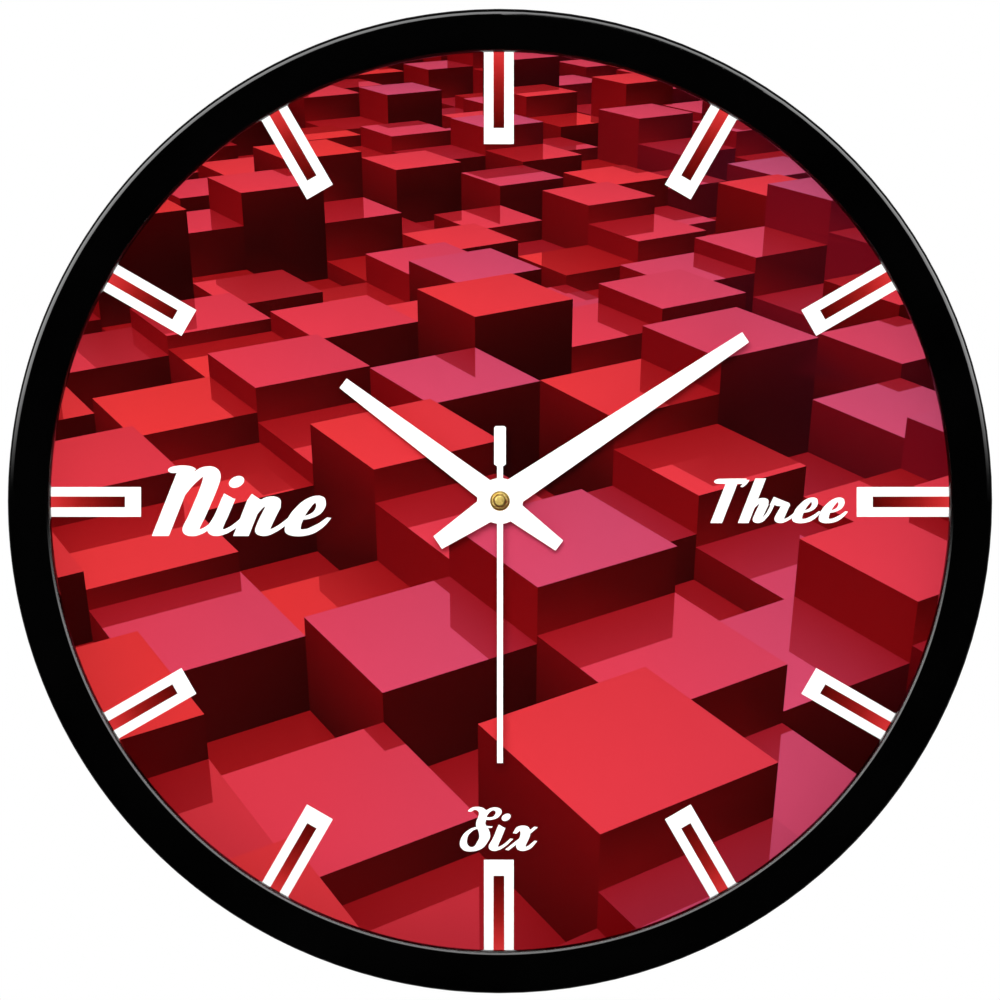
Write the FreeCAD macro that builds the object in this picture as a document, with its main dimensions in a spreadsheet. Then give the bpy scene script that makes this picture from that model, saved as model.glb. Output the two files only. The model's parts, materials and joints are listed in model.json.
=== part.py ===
import FreeCAD, Part
import math
import os
import re

import Sketcher

# A round quartz wall clock. The dial faces -Y, +X is to the right and +Z is up.
# The origin is where the hands' axis meets the wall. A "depth" is a distance in front of
# the wall, so depth d lies at y = -d. Lengths are in millimetres and angles in degrees.

SIZES = {
    # outer frame
    "rim_radius": 150.0,
    "rim_depth": 40.0,
    "rim_wall": 2.0,
    "rim_edge_round": 4.0,
    "lip_radius": 136.8,
    "lip_thickness": 3.4,
    "lip_edge_round": 3.0,
    "stack_radius": 141.6,
    "stack_play": 0.3,
    "seat_wall": 2.0,
    "ledge_depth": 20.0,
    "boss_half_width": 3.0,
    "case_screw_circle": 144.8,
    "case_screw_radius": 1.2,
    "case_screw_hole": 1.6,
    "case_screw_head": 2.8,
    "case_screw_head_height": 1.9,
    "case_screw_length": 9.0,
    "case_screw_count": 6,
    "screw_end_gap": 0.5,
    "overlap": 0.5,
    # lens, seal, spacer and dial
    "glass_thickness": 2.0,
    "gasket_thickness": 0.4,
    "gasket_width": 3.0,
    "spacer_width": 2.4,
    "dial_depth": 22.0,
    "dial_thickness": 0.4,
    "dial_hole": 4.15,
    # moulded back case
    "plate_wall": 2.0,
    "platform_inner": 139.4,
    "flange_radius": 147.7,
    "rib_height": 3.4,
    "rib_half_width": 0.8,
    "rib_ring_inner": 43.0,
    "rib_ring_outer": 92.0,
    "rib_count": 12,
    # hanger
    "hanger_half_width": 18.0,
    "hanger_low": 97.0,
    "hanger_high": 128.0,
    "hanger_depth": 1.4,
    "hanger_thickness": 1.2,
    "keyhole_radius": 4.5,
    "keyhole_height": 108.0,
    "keyhole_slot_half_width": 2.2,
    "keyhole_slot_top": 120.0,
    "hanger_screw_offset": 13.0,
    "hanger_screw_height": 102.5,
    "hanger_screw_head": 3.0,
    "hanger_screw_head_height": 1.2,
    "hanger_screw_length": 9.0,
    "boss_radius": 3.6,
    # movement case
    "case_half": 28.0,
    "case_corner": 3.0,
    "case_back": 3.3,
    "case_split": 9.0,
    "case_front": 19.3,
    "case_wall": 1.2,
    "case_front_wall": 1.5,
    "cell_floor": 18.7,
    "cell_low": -27.0,
    "cell_high": -12.1,
    "divider": 1.0,
    "pivot_depth": 0.7,
    "front_pivot_depth": 0.8,
    "running_gap": 0.06,
    "pillar_radius": 1.5,
    # washers, bushing and nut
    "bush_radius": 4.0,
    "bush_bore": 2.56,
    "bush_front": 24.9,
    "bush_chamfer": 0.4,
    "collar_radius": 5.6,
    "rubber_inner": 6.0,
    "rubber_outer": 12.0,
    "washer_radius": 6.6,
    "washer_thickness": 0.4,
    "nut_corner_radius": 6.2,
    "nut_thickness": 1.9,
    # concentric shafts
    "second_arbor": 0.75,
    "cannon_bore": 0.8,
    "cannon_radius": 1.6,
    "hour_tube_bore": 1.66,
    "hour_tube_radius": 2.5,
    "hour_tube_front": 26.6,
    "cannon_front": 29.3,
    "second_arbor_front": 31.6,
    "arbor_back": 3.9,
    # hands
    "hand_sheet": 0.4,
    "hand_edge_round": 0.1,
    "hub_radius": 7.0,
    "hour_hand_angle": 306.9,
    "hour_hand_depth": 26.1,
    "hour_hand_length": 60.0,
    "hour_hand_tail": 22.7,
    "hour_hand_hub_width": 6.9,
    "hour_hand_tip_width": 3.65,
    "hour_hand_tail_width": 3.9,
    "hour_bush_flange": 4.5,
    "hour_bush_neck": 3.3,
    "hour_bush_back": 25.2,
    "minute_hand_angle": 56.3,
    "minute_hand_depth": 28.3,
    "minute_hand_length": 90.2,
    "minute_hand_tail": 22.9,
    "minute_hand_hub_width": 8.5,
    "minute_hand_tip_width": 3.75,
    "minute_hand_tail_width": 4.7,
    "minute_bush_flange": 3.6,
    "minute_bush_neck": 2.4,
    "minute_bush_back": 27.5,
    "second_hand_angle": 180.0,
    "second_hand_depth": 30.6,
    "second_hand_length": 80.0,
    "second_hand_hub_width": 1.85,
    "second_hand_tip_width": 1.8,
    "second_hand_disc": 3.6,
    "paddle_start": 10.6,
    "paddle_shoulder": 0.6,
    "paddle_end": 22.9,
    "paddle_corner": 0.5,
    "paddle_width": 3.6,
    "second_tube_radius": 1.3,
    "second_tube_back": 29.6,
    "cap_radius": 3.05,
    "cap_step_radius": 2.2,
    "cap_skirt": 0.9,
    "cap_height": 1.9,
    "cap_skirt_round": 0.7,
    "cap_dome_round": 0.9,
    # gear train
    "motion_module": 0.32,
    "centre_module": 0.25,
    "third_module": 18.0 / 68.0,
    "second_module": 0.25,
    "rotor_module": 0.2,
    "third_distance": 9.0,
    "third_bearing": 180.0,
    "intermediate_distance": 7.0,
    "intermediate_bearing": 90.0,
    "rotor_distance": 5.4,
    "rotor_bearing": 70.0,
    "minute_wheel_distance": 9.6,
    "minute_wheel_bearing": 0.0,
    "knob_distance": 9.12,
    "knob_bearing": 60.0,
    "fine_arbor": 0.3,
    "third_arbor": 0.4,
    "minute_post": 0.9,
    "minute_post_back": 13.2,
    "minute_wheel_bore": 0.97,
    "knob_shaft": 1.1,
    "knob_radius": 5.0,
    "knob_back": 1.0,
    "knob_front": 3.1,
    "knob_flutes": 24,
    "knob_flute_radius": 0.32,
    "magnet_radius": 2.9,
    "magnet_back": 7.0,
    "magnet_front": 9.8,
    # depths of the wheels' layers, from the wall side to the dial side
    "rotor_pinion_back": 4.9,
    "rotor_pinion_front": 6.4,
    "rotor_hub": 1.2,
    "intermediate_wheel_back": 5.2,
    "intermediate_wheel_front": 6.1,
    "intermediate_pinion_front": 7.8,
    "fine_arbor_front": 10.8,
    "second_wheel_back": 6.9,
    "second_wheel_front": 7.7,
    "second_pinion_front": 9.9,
    "third_wheel_back": 8.6,
    "third_wheel_front": 9.6,
    "third_hub": 0.7,
    "third_pinion_back": 11.2,
    "third_pinion_front": 13.0,
    "long_arbor_front": 18.4,
    "cannon_back": 11.4,
    "centre_wheel_back": 11.6,
    "centre_wheel_front": 12.6,
    "cannon_pinion_back": 13.5,
    "cannon_pinion_front": 15.3,
    "minute_wheel_back": 13.9,
    "minute_wheel_front": 14.9,
    "minute_pinion_front": 17.5,
    "hour_tube_back": 15.6,
    "hour_wheel_back": 16.0,
    "hour_wheel_front": 17.2,
    # holes that lighten the wheels' webs
    "intermediate_wheel_circle": 2.7,
    "intermediate_wheel_hole": 0.7,
    "second_wheel_circle": 3.6,
    "second_wheel_hole": 1.0,
    "third_wheel_circle": 4.6,
    "third_wheel_hole": 1.4,
    "centre_wheel_circle": 4.8,
    "centre_wheel_hole": 1.4,
    "hour_wheel_circle": 5.0,
    "hour_wheel_hole": 1.1,
    # middle plate and electrics
    "middle_left": -13.6,
    "middle_right": 22.0,
    "middle_low": -10.6,
    "middle_high": 17.0,
    "middle_back": 10.2,
    "middle_thickness": 0.8,
    "stator_left": -13.0,
    "stator_right": 11.5,
    "stator_low": 9.6,
    "stator_bridge": 14.4,
    "stator_back": 8.0,
    "stator_thickness": 1.0,
    "stator_eye": 4.6,
    "stator_hole": 3.3,
    "stator_notch": 0.7,
    "stator_notch_offset": 3.4,
    "core_low": 20.2,
    "core_high": 22.6,
    "core_thickness": 1.2,
    "coil_left": -9.5,
    "coil_right": 7.5,
    "coil_play": 0.1,
    "coil_flange": 4.2,
    "coil_flange_thickness": 0.8,
    "coil_barrel": 2.2,
    "coil_radius": 3.7,
    "board_left": -26.3,
    "board_right": -14.2,
    "board_low": -10.6,
    "board_high": 26.0,
    "blob_radius": 3.4,
    "blob_across": -20.4,
    "blob_up": 13.0,
    "crystal_radius": 1.0,
    "crystal_length": 6.0,
    "crystal_across": -24.6,
    "crystal_low": 16.5,
    # battery and contacts
    "cell_radius": 7.25,
    "cell_sleeve": 0.15,
    "sleeve_end_gap": 0.2,
    "cell_left": -24.4,
    "cell_shoulder": 24.9,
    "cell_nub_end": 26.1,
    "cell_nub_radius": 2.75,
    "cell_height": -19.55,
    "cell_depth": 11.2,
    "contact_face": 26.8,
    "contact_thickness": 0.4,
    "contact_low_gap": 0.6,
    "contact_high_gap": 1.0,
    "plate_half_width": 5.0,
    "leaf_half_width": 4.0,
    "leaf_fold_width": 0.5,
    "leaf_fold_rise": 2.0,
    "leaf_tip_gap": 0.15,
    "leaf_tip_thickness": 0.42,
    "leaf_lean": 1.1,
    "leaf_rise": 4.6,
    "leaf_end_width": 0.35,
    "leaf_end_drop": 0.1,
}

# tooth counts: rotor 9 > 45, 8 > 48, 8 > 60, 8 > 64, then 15 > 45 and 12 > 48, with 12 on the knob
ROTOR_TEETH = 9
INTERMEDIATE_TEETH = 45
INTERMEDIATE_PINION_TEETH = 8
SECOND_TEETH = 48
SECOND_PINION_TEETH = 8
THIRD_TEETH = 60
THIRD_PINION_TEETH = 8
CENTRE_TEETH = 64
CANNON_TEETH = 15
MINUTE_TEETH = 45
MINUTE_PINION_TEETH = 12
HOUR_TEETH = 48
KNOB_TEETH = 12

PRESSURE_ANGLE = math.radians(20.0)
PINION_ADDENDUM = 0.8
WHEEL_ADDENDUM = 0.6
DEDENDUM = 1.15
BACKLASH = 0.24  # of a module, taken off each tooth at the pitch circle
WEB_HOLES = 5

# the short pillars that hold the middle plate and the circuit board, as (x, z)
PILLARS = ((19.6, -8.6), (19.6, 14.6), (-11.8, 15.2), (-24.2, -8.8), (-24.2, 24.0))

# a screw head's rounding, and its slot's floor, as shares of the head's height, then the
# slot's length and width as shares of the head's radius
HEAD_ROUND = 0.6
SLOT_FLOOR = 0.4
SLOT_LENGTH = 1.1
SLOT_WIDTH = 0.28

# the chip's drop of resin is the cap of a ball, cut off at this angle above its middle
BLOB_ANGLE = 45.0

SAME = 1e-4  # how near two lengths must be to count as equal
CORNER_REACH = 5.0  # the corners that are rounded lie further out than this

doc = FreeCAD.newDocument("WallClock")
sheet = doc.addObject("Spreadsheet::Sheet", "Sizes")
for row, (alias, value) in enumerate(SIZES.items(), start=1):
    sheet.set("A%d" % row, alias)
    sheet.set("B%d" % row, repr(value))
    sheet.setAlias("B%d" % row, alias)
doc.recompute()

sub_parts = []


# ---------------------------------------------------------------- sizes and expressions


def size(alias):
    """The value that the sheet holds for one driving dimension."""
    return float(sheet.get(alias))


def linked(text):
    """A formula of driving dimensions, such as rim_depth - 2, as an expression on the sheet."""
    return re.sub(r"[a-z][a-z_]+", lambda word: "Sizes." + word.group(), text)


def value_of(text):
    """What a formula comes to, for a sketch's first drawing."""
    return float(sheet.evalExpression(text))


def bind(thing, where, text):
    thing.setExpression(where, linked(text))


def finished(thing, label):
    """Keeps one object as a sub-part, whose label names its file."""
    thing.Label = label
    sub_parts.append(thing)
    return thing


# ---------------------------------------------------------------- bodies and sketches


def new_body(label):
    return finished(doc.addObject("PartDesign::Body", label + "_body"), label)


def sketch_on(body, role, offset="0"):
    """A sketch on one of the body's own planes. On XZ_Plane the offset is a depth."""
    plane = [o for o in body.Origin.OriginFeatures if o.Role == role][0]
    sketch = body.newObject("Sketcher::SketchObject", body.Name + "_sketch")
    sketch.AttachmentSupport = [(plane, "")]
    sketch.MapMode = "FlatFace"
    bind(sketch, "AttachmentOffset.Base.z", offset)
    return sketch


def polygon(sketch, points):
    """A closed outline, with each corner held by its two coordinates, given as formulas."""
    first = sketch.GeometryCount
    corners = [FreeCAD.Vector(value_of(x), value_of(y), 0) for x, y in points]
    count = len(corners)
    for index in range(count):
        sketch.addGeometry(Part.LineSegment(corners[index], corners[(index + 1) % count]))
    for index in range(count):
        following = first + (index + 1) % count
        sketch.addConstraint(Sketcher.Constraint("Coincident", first + index, 2, following, 1))
    for index, (x, y) in enumerate(points):
        for kind, text, now in (("DistanceX", x, corners[index].x), ("DistanceY", y, corners[index].y)):
            number = sketch.addConstraint(Sketcher.Constraint(kind, -1, 1, first + index, 1, now))
            bind(sketch, "Constraints[%d]" % number, text)


def rectangle(sketch, left, low, right, high):
    polygon(sketch, [(left, low), (right, low), (right, high), (left, high)])


def circle(sketch, radius, x="0", y="0"):
    centre = FreeCAD.Vector(value_of(x), value_of(y), 0)
    axis = FreeCAD.Vector(0, 0, 1)
    geometry = sketch.addGeometry(Part.Circle(centre, axis, value_of(radius)))
    number = sketch.addConstraint(Sketcher.Constraint("Radius", geometry, value_of(radius)))
    bind(sketch, "Constraints[%d]" % number, radius)
    for kind, text, now in (("DistanceX", x, centre.x), ("DistanceY", y, centre.y)):
        number = sketch.addConstraint(Sketcher.Constraint(kind, -1, 1, geometry, 3, now))
        bind(sketch, "Constraints[%d]" % number, text)


def pad(body, sketch, length):
    """Material from the sketch towards the front."""
    feature = body.newObject("PartDesign::Pad", body.Name + "_pad")
    feature.Profile = sketch
    bind(feature, "Length", length)
    doc.recompute()
    return feature


def pocket(body, sketch, length):
    """A cut from the sketch towards the wall. It must take something away."""
    before = body.Shape.Volume
    feature = body.newObject("PartDesign::Pocket", body.Name + "_pocket")
    feature.Profile = sketch
    bind(feature, "Length", length)
    doc.recompute()
    if body.Shape.Volume > before - SAME:
        raise RuntimeError("a pocket in %s cuts nothing" % body.Label)
    return feature


def polar(body, features, count):
    """The same features again, evenly round the hands' axis."""
    axis = [o for o in body.Origin.OriginFeatures if o.Role == "Y_Axis"][0]
    pattern = body.newObject("PartDesign::PolarPattern", body.Name + "_pattern")
    pattern.Originals = features
    pattern.Axis = (axis, [""])
    pattern.Angle = 360
    bind(pattern, "Occurrences", count)
    body.Tip = pattern
    doc.recompute()
    return pattern


def lathe(label, points):
    """A body turned about the hands' axis from an outline of (radius, depth) corners."""
    body = new_body(label)
    sketch = sketch_on(body, "XY_Plane")
    polygon(sketch, [(radius, "-(%s)" % depth) for radius, depth in points])
    feature = body.newObject("PartDesign::Revolution", body.Name + "_turned")
    feature.Profile = sketch
    feature.ReferenceAxis = (sketch, ["V_Axis"])
    feature.Angle = 360
    doc.recompute()
    return body


def ring(label, inner, outer, back, thickness):
    front = "%s + %s" % (back, thickness)
    return lathe(label, [(inner, back), (outer, back), (outer, front), (inner, front)])


def soften(body, radius, chosen):
    """Rounds the body's edges for which chosen(edge) is true."""
    base = body.Tip
    names = [
        "Edge%d" % number
        for number, edge in enumerate(base.Shape.Edges, start=1)
        if chosen(edge)
    ]
    if not names:
        raise RuntimeError("no edge to round on %s" % body.Label)
    feature = body.newObject("PartDesign::Fillet", body.Name + "_round")
    feature.Base = (base, names)
    bind(feature, "Radius", radius)
    doc.recompute()
    return feature


def at_depth(edge, depth):
    box = edge.BoundBox
    return abs(box.YMin + depth) < SAME and abs(box.YMax + depth) < SAME


def circle_at(depth, radius):
    def chosen(edge):
        round_edge = hasattr(edge.Curve, "Radius") and abs(edge.Curve.Radius - radius) < SAME
        return round_edge and at_depth(edge, depth)

    return chosen


def outer_corner(edge):
    """Whether an edge is straight, runs front to back and lies well off both axes."""
    box = edge.BoundBox
    straight = box.XLength < SAME and box.ZLength < SAME
    return straight and min(abs(box.XMin), abs(box.ZMin)) > CORNER_REACH


# ---------------------------------------------------------------- positions in the movement


def step_from(start, distance, bearing):
    """A point in the dial's plane, at a distance and bearing (from +X towards +Z) from start."""
    angle = math.radians(size(bearing))
    reach = size(distance)
    return (start[0] + reach * math.cos(angle), start[1] + reach * math.sin(angle))


AXIS = (0.0, 0.0)
THIRD = step_from(AXIS, "third_distance", "third_bearing")
INTERMEDIATE = step_from(AXIS, "intermediate_distance", "intermediate_bearing")
ROTOR = step_from(INTERMEDIATE, "rotor_distance", "rotor_bearing")
MINUTE = step_from(AXIS, "minute_wheel_distance", "minute_wheel_bearing")
KNOB = step_from(MINUTE, "knob_distance", "knob_bearing")


def spot(place):
    """A place's two coordinates as formulas, for a sketch."""
    return {"x": "%.6f" % place[0], "y": "%.6f" % place[1]}


# ---------------------------------------------------------------- gears


def involute(angle):
    return math.tan(angle) - angle


def half_tooth(radius, teeth, module):
    """Half a tooth's angle at a radius. Below the base circle the flank runs straight in."""
    pitch = teeth * module / 2
    base = pitch * math.cos(PRESSURE_ANGLE)
    at_pitch = math.pi / (2 * teeth) - BACKLASH * module / (2 * pitch)
    turned = 0.0
    if radius > base:
        turned = involute(math.acos(base / radius))
    return at_pitch + involute(PRESSURE_ANGLE) - turned


def gear_face(teeth, module, addendum, phase, bore):
    """A toothed outline in the dial's plane, with one tooth centred on the angle phase."""
    pitch = teeth * module / 2
    tip = pitch + addendum * module
    root = pitch - DEDENDUM * module
    start = max(root, pitch * math.cos(PRESSURE_ANGLE))
    middle = (start + tip) / 2

    def at(radius, angle):
        return FreeCAD.Vector(radius * math.cos(angle), 0, radius * math.sin(angle))

    edges = []
    pen = None
    for tooth in range(teeth):
        centre = phase + 2 * math.pi * tooth / teeth
        stops = {}
        for side in (-1, 1):
            for name, radius in (("foot", start), ("flank", middle), ("tip", tip)):
                stops[side, name] = at(radius, centre + side * half_tooth(radius, teeth, module))
        stops[-1, "root"] = at(root, centre - half_tooth(start, teeth, module))
        stops[1, "root"] = at(root, centre + half_tooth(start, teeth, module))
        if pen is None:
            opening = stops[-1, "root"]
        else:
            edges.append(Part.LineSegment(pen, stops[-1, "root"]).toShape())
        if start > root:
            edges.append(Part.LineSegment(stops[-1, "root"], stops[-1, "foot"]).toShape())
        edges.append(Part.Arc(stops[-1, "foot"], stops[-1, "flank"], stops[-1, "tip"]).toShape())
        edges.append(Part.LineSegment(stops[-1, "tip"], stops[1, "tip"]).toShape())
        edges.append(Part.Arc(stops[1, "tip"], stops[1, "flank"], stops[1, "foot"]).toShape())
        if start > root:
            edges.append(Part.LineSegment(stops[1, "foot"], stops[1, "root"]).toShape())
        pen = stops[1, "root"]
    edges.append(Part.LineSegment(pen, opening).toShape())
    wires = [Part.Wire(edges)]
    if bore:
        wires.append(Part.Wire(Part.makeCircle(bore, at(0, 0), FreeCAD.Vector(0, 1, 0))))
    return Part.makeFace(wires, "Part::FaceMakerBullseye")


def gear(teeth, module, addendum, phase, back, front, bore=0.0):
    """A gear about the Y axis from depth back to depth front."""
    face = gear_face(teeth, module, addendum, phase, bore)
    face.translate(FreeCAD.Vector(0, -back, 0))
    return face.extrude(FreeCAD.Vector(0, back - front, 0))


def disc(radius, back, front, bore=0.0):
    """A round solid about the Y axis from depth back to depth front."""
    start = FreeCAD.Vector(0, -back, 0)
    towards_front = FreeCAD.Vector(0, -1, 0)
    solid = Part.makeCylinder(radius, front - back, start, towards_front)
    if bore:
        solid = solid.cut(Part.makeCylinder(bore, front - back, start, towards_front))
    return solid


def wheel(name, teeth, module, addendum, phase, bore=0.0):
    """One of the named wheels, between the depths of its own layer."""
    return gear(teeth, module, addendum, phase, size(name + "_back"), size(name + "_front"), bore)


def lightened(solid, name):
    """The named wheel with a circle of round holes through its web."""
    back = size(name + "_back")
    length = size(name + "_front") - back
    reach = size(name + "_circle")
    for index in range(WEB_HOLES):
        angle = 2 * math.pi * index / WEB_HOLES
        start = FreeCAD.Vector(reach * math.cos(angle), -back, reach * math.sin(angle))
        towards_front = FreeCAD.Vector(0, -1, 0)
        solid = solid.cut(Part.makeCylinder(size(name + "_hole"), length, start, towards_front))
    return solid


def feature(label, solid, place=AXIS):
    """A sub-part whose shape is built here, moved to its place in the dial's plane."""
    thing = doc.addObject("Part::Feature", label + "_shape")
    thing.Shape = solid
    thing.Placement = FreeCAD.Placement(FreeCAD.Vector(place[0], 0, place[1]), FreeCAD.Rotation())
    return finished(thing, label)


def bearing_of(start, end):
    return math.atan2(end[1] - start[1], end[0] - start[0])


def mesh_phase(driver_phase, driver_teeth, teeth, direction):
    """The phase that puts a gear in mesh with its driver, which lies opposite to direction."""
    lead = driver_phase - direction
    return direction + math.pi + math.pi / teeth - lead * driver_teeth / teeth


# ---------------------------------------------------------------- frame, lens and dial


def make_front_frame():
    """The black moulded rim: front lip, seat for the glass stack, and a hollow outer wall."""
    seat = "stack_radius + stack_play"
    seat_outer = seat + " + seat_wall"
    inner = "rim_radius - rim_wall"
    lip_back = "rim_depth - lip_thickness"
    hollow = "rim_depth - rim_edge_round"
    body = lathe(
        "front_frame",
        [
            (inner, "0"),
            ("rim_radius", "0"),
            ("rim_radius", "rim_depth"),
            ("lip_radius", "rim_depth"),
            ("lip_radius", lip_back),
            (seat, lip_back),
            (seat, "ledge_depth"),
            (seat_outer, "ledge_depth"),
            (seat_outer, hollow),
            (inner, hollow),
        ],
    )
    depth = size("rim_depth")
    soften(body, "rim_edge_round", circle_at(depth, size("rim_radius")))
    soften(body, "lip_edge_round", circle_at(depth, size("lip_radius")))
    block = sketch_on(body, "XZ_Plane", "ledge_depth")
    wide = "boss_half_width"
    rectangle(block, seat + " + seat_wall / 2", "-" + wide, inner + " + rim_wall / 2", wide)
    boss = pad(body, block, hollow + " - ledge_depth + overlap")
    polar(body, [boss], "case_screw_count")
    pilot = sketch_on(body, "XZ_Plane", "ledge_depth + case_screw_length")
    circle(pilot, "case_screw_radius", "case_screw_circle")
    hole = pocket(body, pilot, "case_screw_length")
    polar(body, [hole], "case_screw_count")


def make_glass_stack():
    """The lens, its soft seal, the spacer ring and the printed dial, clamped in the rim's seat."""
    glass_back = "rim_depth - lip_thickness - glass_thickness"
    lathe(
        "lens_glass",
        [
            ("0", glass_back),
            ("stack_radius", glass_back),
            ("stack_radius", glass_back + " + glass_thickness"),
            ("0", glass_back + " + glass_thickness"),
        ],
    )
    seal_back = glass_back + " - gasket_thickness"
    ring("lens_gasket", "stack_radius - gasket_width", "stack_radius", seal_back, "gasket_thickness")
    spacer_back = "dial_depth + dial_thickness"
    spacer_length = "%s - (%s)" % (seal_back, spacer_back)
    ring("spacer_ring", "stack_radius - spacer_width", "stack_radius", spacer_back, spacer_length)
    ring("dial_print", "dial_hole", "stack_radius", "dial_depth", "dial_thickness")


def make_back_case():
    """The moulded plate behind the dial, dished forward, ribbed, with bosses for the hanger."""
    under = "dial_depth - plate_wall"
    flange_back = "ledge_depth - plate_wall"
    body = lathe(
        "back_case",
        [
            ("dial_hole", under),
            ("platform_inner", under),
            ("platform_inner", flange_back),
            ("flange_radius", flange_back),
            ("flange_radius", "ledge_depth"),
            ("stack_radius", "ledge_depth"),
            ("stack_radius", "dial_depth"),
            ("dial_hole", "dial_depth"),
        ],
    )
    rib_sketch = sketch_on(body, "XZ_Plane", under + " - rib_height")
    half = "rib_half_width"
    start = "rib_ring_inner + overlap"
    rectangle(rib_sketch, start, "-" + half, "platform_inner + overlap", half)
    rib = pad(body, rib_sketch, "rib_height + overlap")
    polar(body, [rib], "rib_count")
    for radius in ("rib_ring_inner", "rib_ring_outer"):
        hoop = sketch_on(body, "XZ_Plane", under + " - rib_height")
        circle(hoop, radius)
        circle(hoop, radius + " + 2 * rib_half_width")
        pad(body, hoop, "rib_height + overlap")
    bosses = sketch_on(body, "XZ_Plane", "hanger_depth + hanger_thickness")
    for side in ("-", ""):
        circle(bosses, "boss_radius", side + "hanger_screw_offset", "hanger_screw_height")
    pad(body, bosses, under + " - hanger_depth - hanger_thickness + overlap")
    pilots = sketch_on(body, "XZ_Plane", "hanger_depth + hanger_thickness + hanger_screw_length")
    for side in ("-", ""):
        circle(pilots, "case_screw_radius", side + "hanger_screw_offset", "hanger_screw_height")
    pocket(body, pilots, "hanger_screw_length")
    holes = sketch_on(body, "XZ_Plane", "ledge_depth")
    circle(holes, "case_screw_hole", "case_screw_circle")
    hole = pocket(body, holes, "plate_wall")
    polar(body, [hole], "case_screw_count")


def screw(head_radius, head_height, shank_radius, length):
    """A cross-slotted pan-head screw about the Y axis, its head's seat at depth 0."""
    head = disc(head_radius, -head_height, 0)
    rims = [edge for edge in head.Edges if circle_at(-head_height, head_radius)(edge)]
    head = head.makeFillet(head_height * HEAD_ROUND, rims)
    shank = disc(shank_radius, 0, length)
    slot_length = head_radius * SLOT_LENGTH
    slot_width = head_radius * SLOT_WIDTH
    corner = FreeCAD.Vector(-slot_length / 2, head_height * SLOT_FLOOR, -slot_width / 2)
    slot = Part.makeBox(slot_length, head_height, slot_width, corner)
    crossed = slot.copy()
    crossed.rotate(FreeCAD.Vector(0, 0, 0), FreeCAD.Vector(0, 1, 0), 90)
    return head.fuse(shank).cut(slot).cut(crossed).removeSplitter()


def make_case_screws():
    """The screws that hold the back case to the rim, as one group."""
    head_height = size("case_screw_head_height")
    flange_back = size("ledge_depth") - size("plate_wall")
    length = size("plate_wall") + size("case_screw_length") - size("screw_end_gap")
    one = screw(size("case_screw_head"), head_height, size("case_screw_radius"), length)
    one.translate(FreeCAD.Vector(size("case_screw_circle"), -flange_back, 0))
    count = int(size("case_screw_count"))
    screws = []
    for index in range(count):
        copy = one.copy()
        copy.rotate(FreeCAD.Vector(0, 0, 0), FreeCAD.Vector(0, 1, 0), 360.0 * index / count)
        screws.append(copy)
    feature("case_screws", Part.makeCompound(screws))


def make_hanger():
    """A pressed steel plate with a keyhole, screwed to the back case near the wall."""
    body = new_body("hanger_plate")
    outline = sketch_on(body, "XZ_Plane", "hanger_depth")
    rectangle(outline, "-hanger_half_width", "hanger_low", "hanger_half_width", "hanger_high")
    pad(body, outline, "hanger_thickness")
    soften(body, "case_corner", outer_corner)
    front = "hanger_depth + hanger_thickness"
    entry = sketch_on(body, "XZ_Plane", front)
    circle(entry, "keyhole_radius", "0", "keyhole_height")
    pocket(body, entry, "hanger_thickness")
    slot = sketch_on(body, "XZ_Plane", front)
    half = "keyhole_slot_half_width"
    rectangle(slot, "-" + half, "keyhole_height", half, "keyhole_slot_top")
    pocket(body, slot, "hanger_thickness")
    top = sketch_on(body, "XZ_Plane", front)
    circle(top, half, "0", "keyhole_slot_top")
    pocket(body, top, "hanger_thickness")
    holes = sketch_on(body, "XZ_Plane", front)
    for side in ("-", ""):
        circle(holes, "case_screw_hole", side + "hanger_screw_offset", "hanger_screw_height")
    pocket(body, holes, "hanger_thickness")
    length = size("hanger_thickness") + size("hanger_screw_length") - size("screw_end_gap")
    head = size("hanger_screw_head")
    screws = []
    for side in (-1, 1):
        one = screw(head, size("hanger_screw_head_height"), size("case_screw_radius"), length)
        x = side * size("hanger_screw_offset")
        one.translate(FreeCAD.Vector(x, -size("hanger_depth"), size("hanger_screw_height")))
        screws.append(one)
    feature("hanger_screws", Part.makeCompound(screws))


# ---------------------------------------------------------------- movement case


def case_block(label, back, length):
    """A square block with rounded corners, which one half of the movement's case is cut from."""
    body = new_body(label)
    outline = sketch_on(body, "XZ_Plane", back)
    rectangle(outline, "-case_half", "-case_half", "case_half", "case_half")
    pad(body, outline, length)
    soften(body, "case_corner", outer_corner)
    return body


def blind_holes(body, depth, length, places):
    """Round cuts from a depth towards the wall: one for each (place, radius formula)."""
    sketch = sketch_on(body, "XZ_Plane", depth)
    for place, radius in places:
        circle(sketch, radius, **spot(place))
    return pocket(body, sketch, length)


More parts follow.
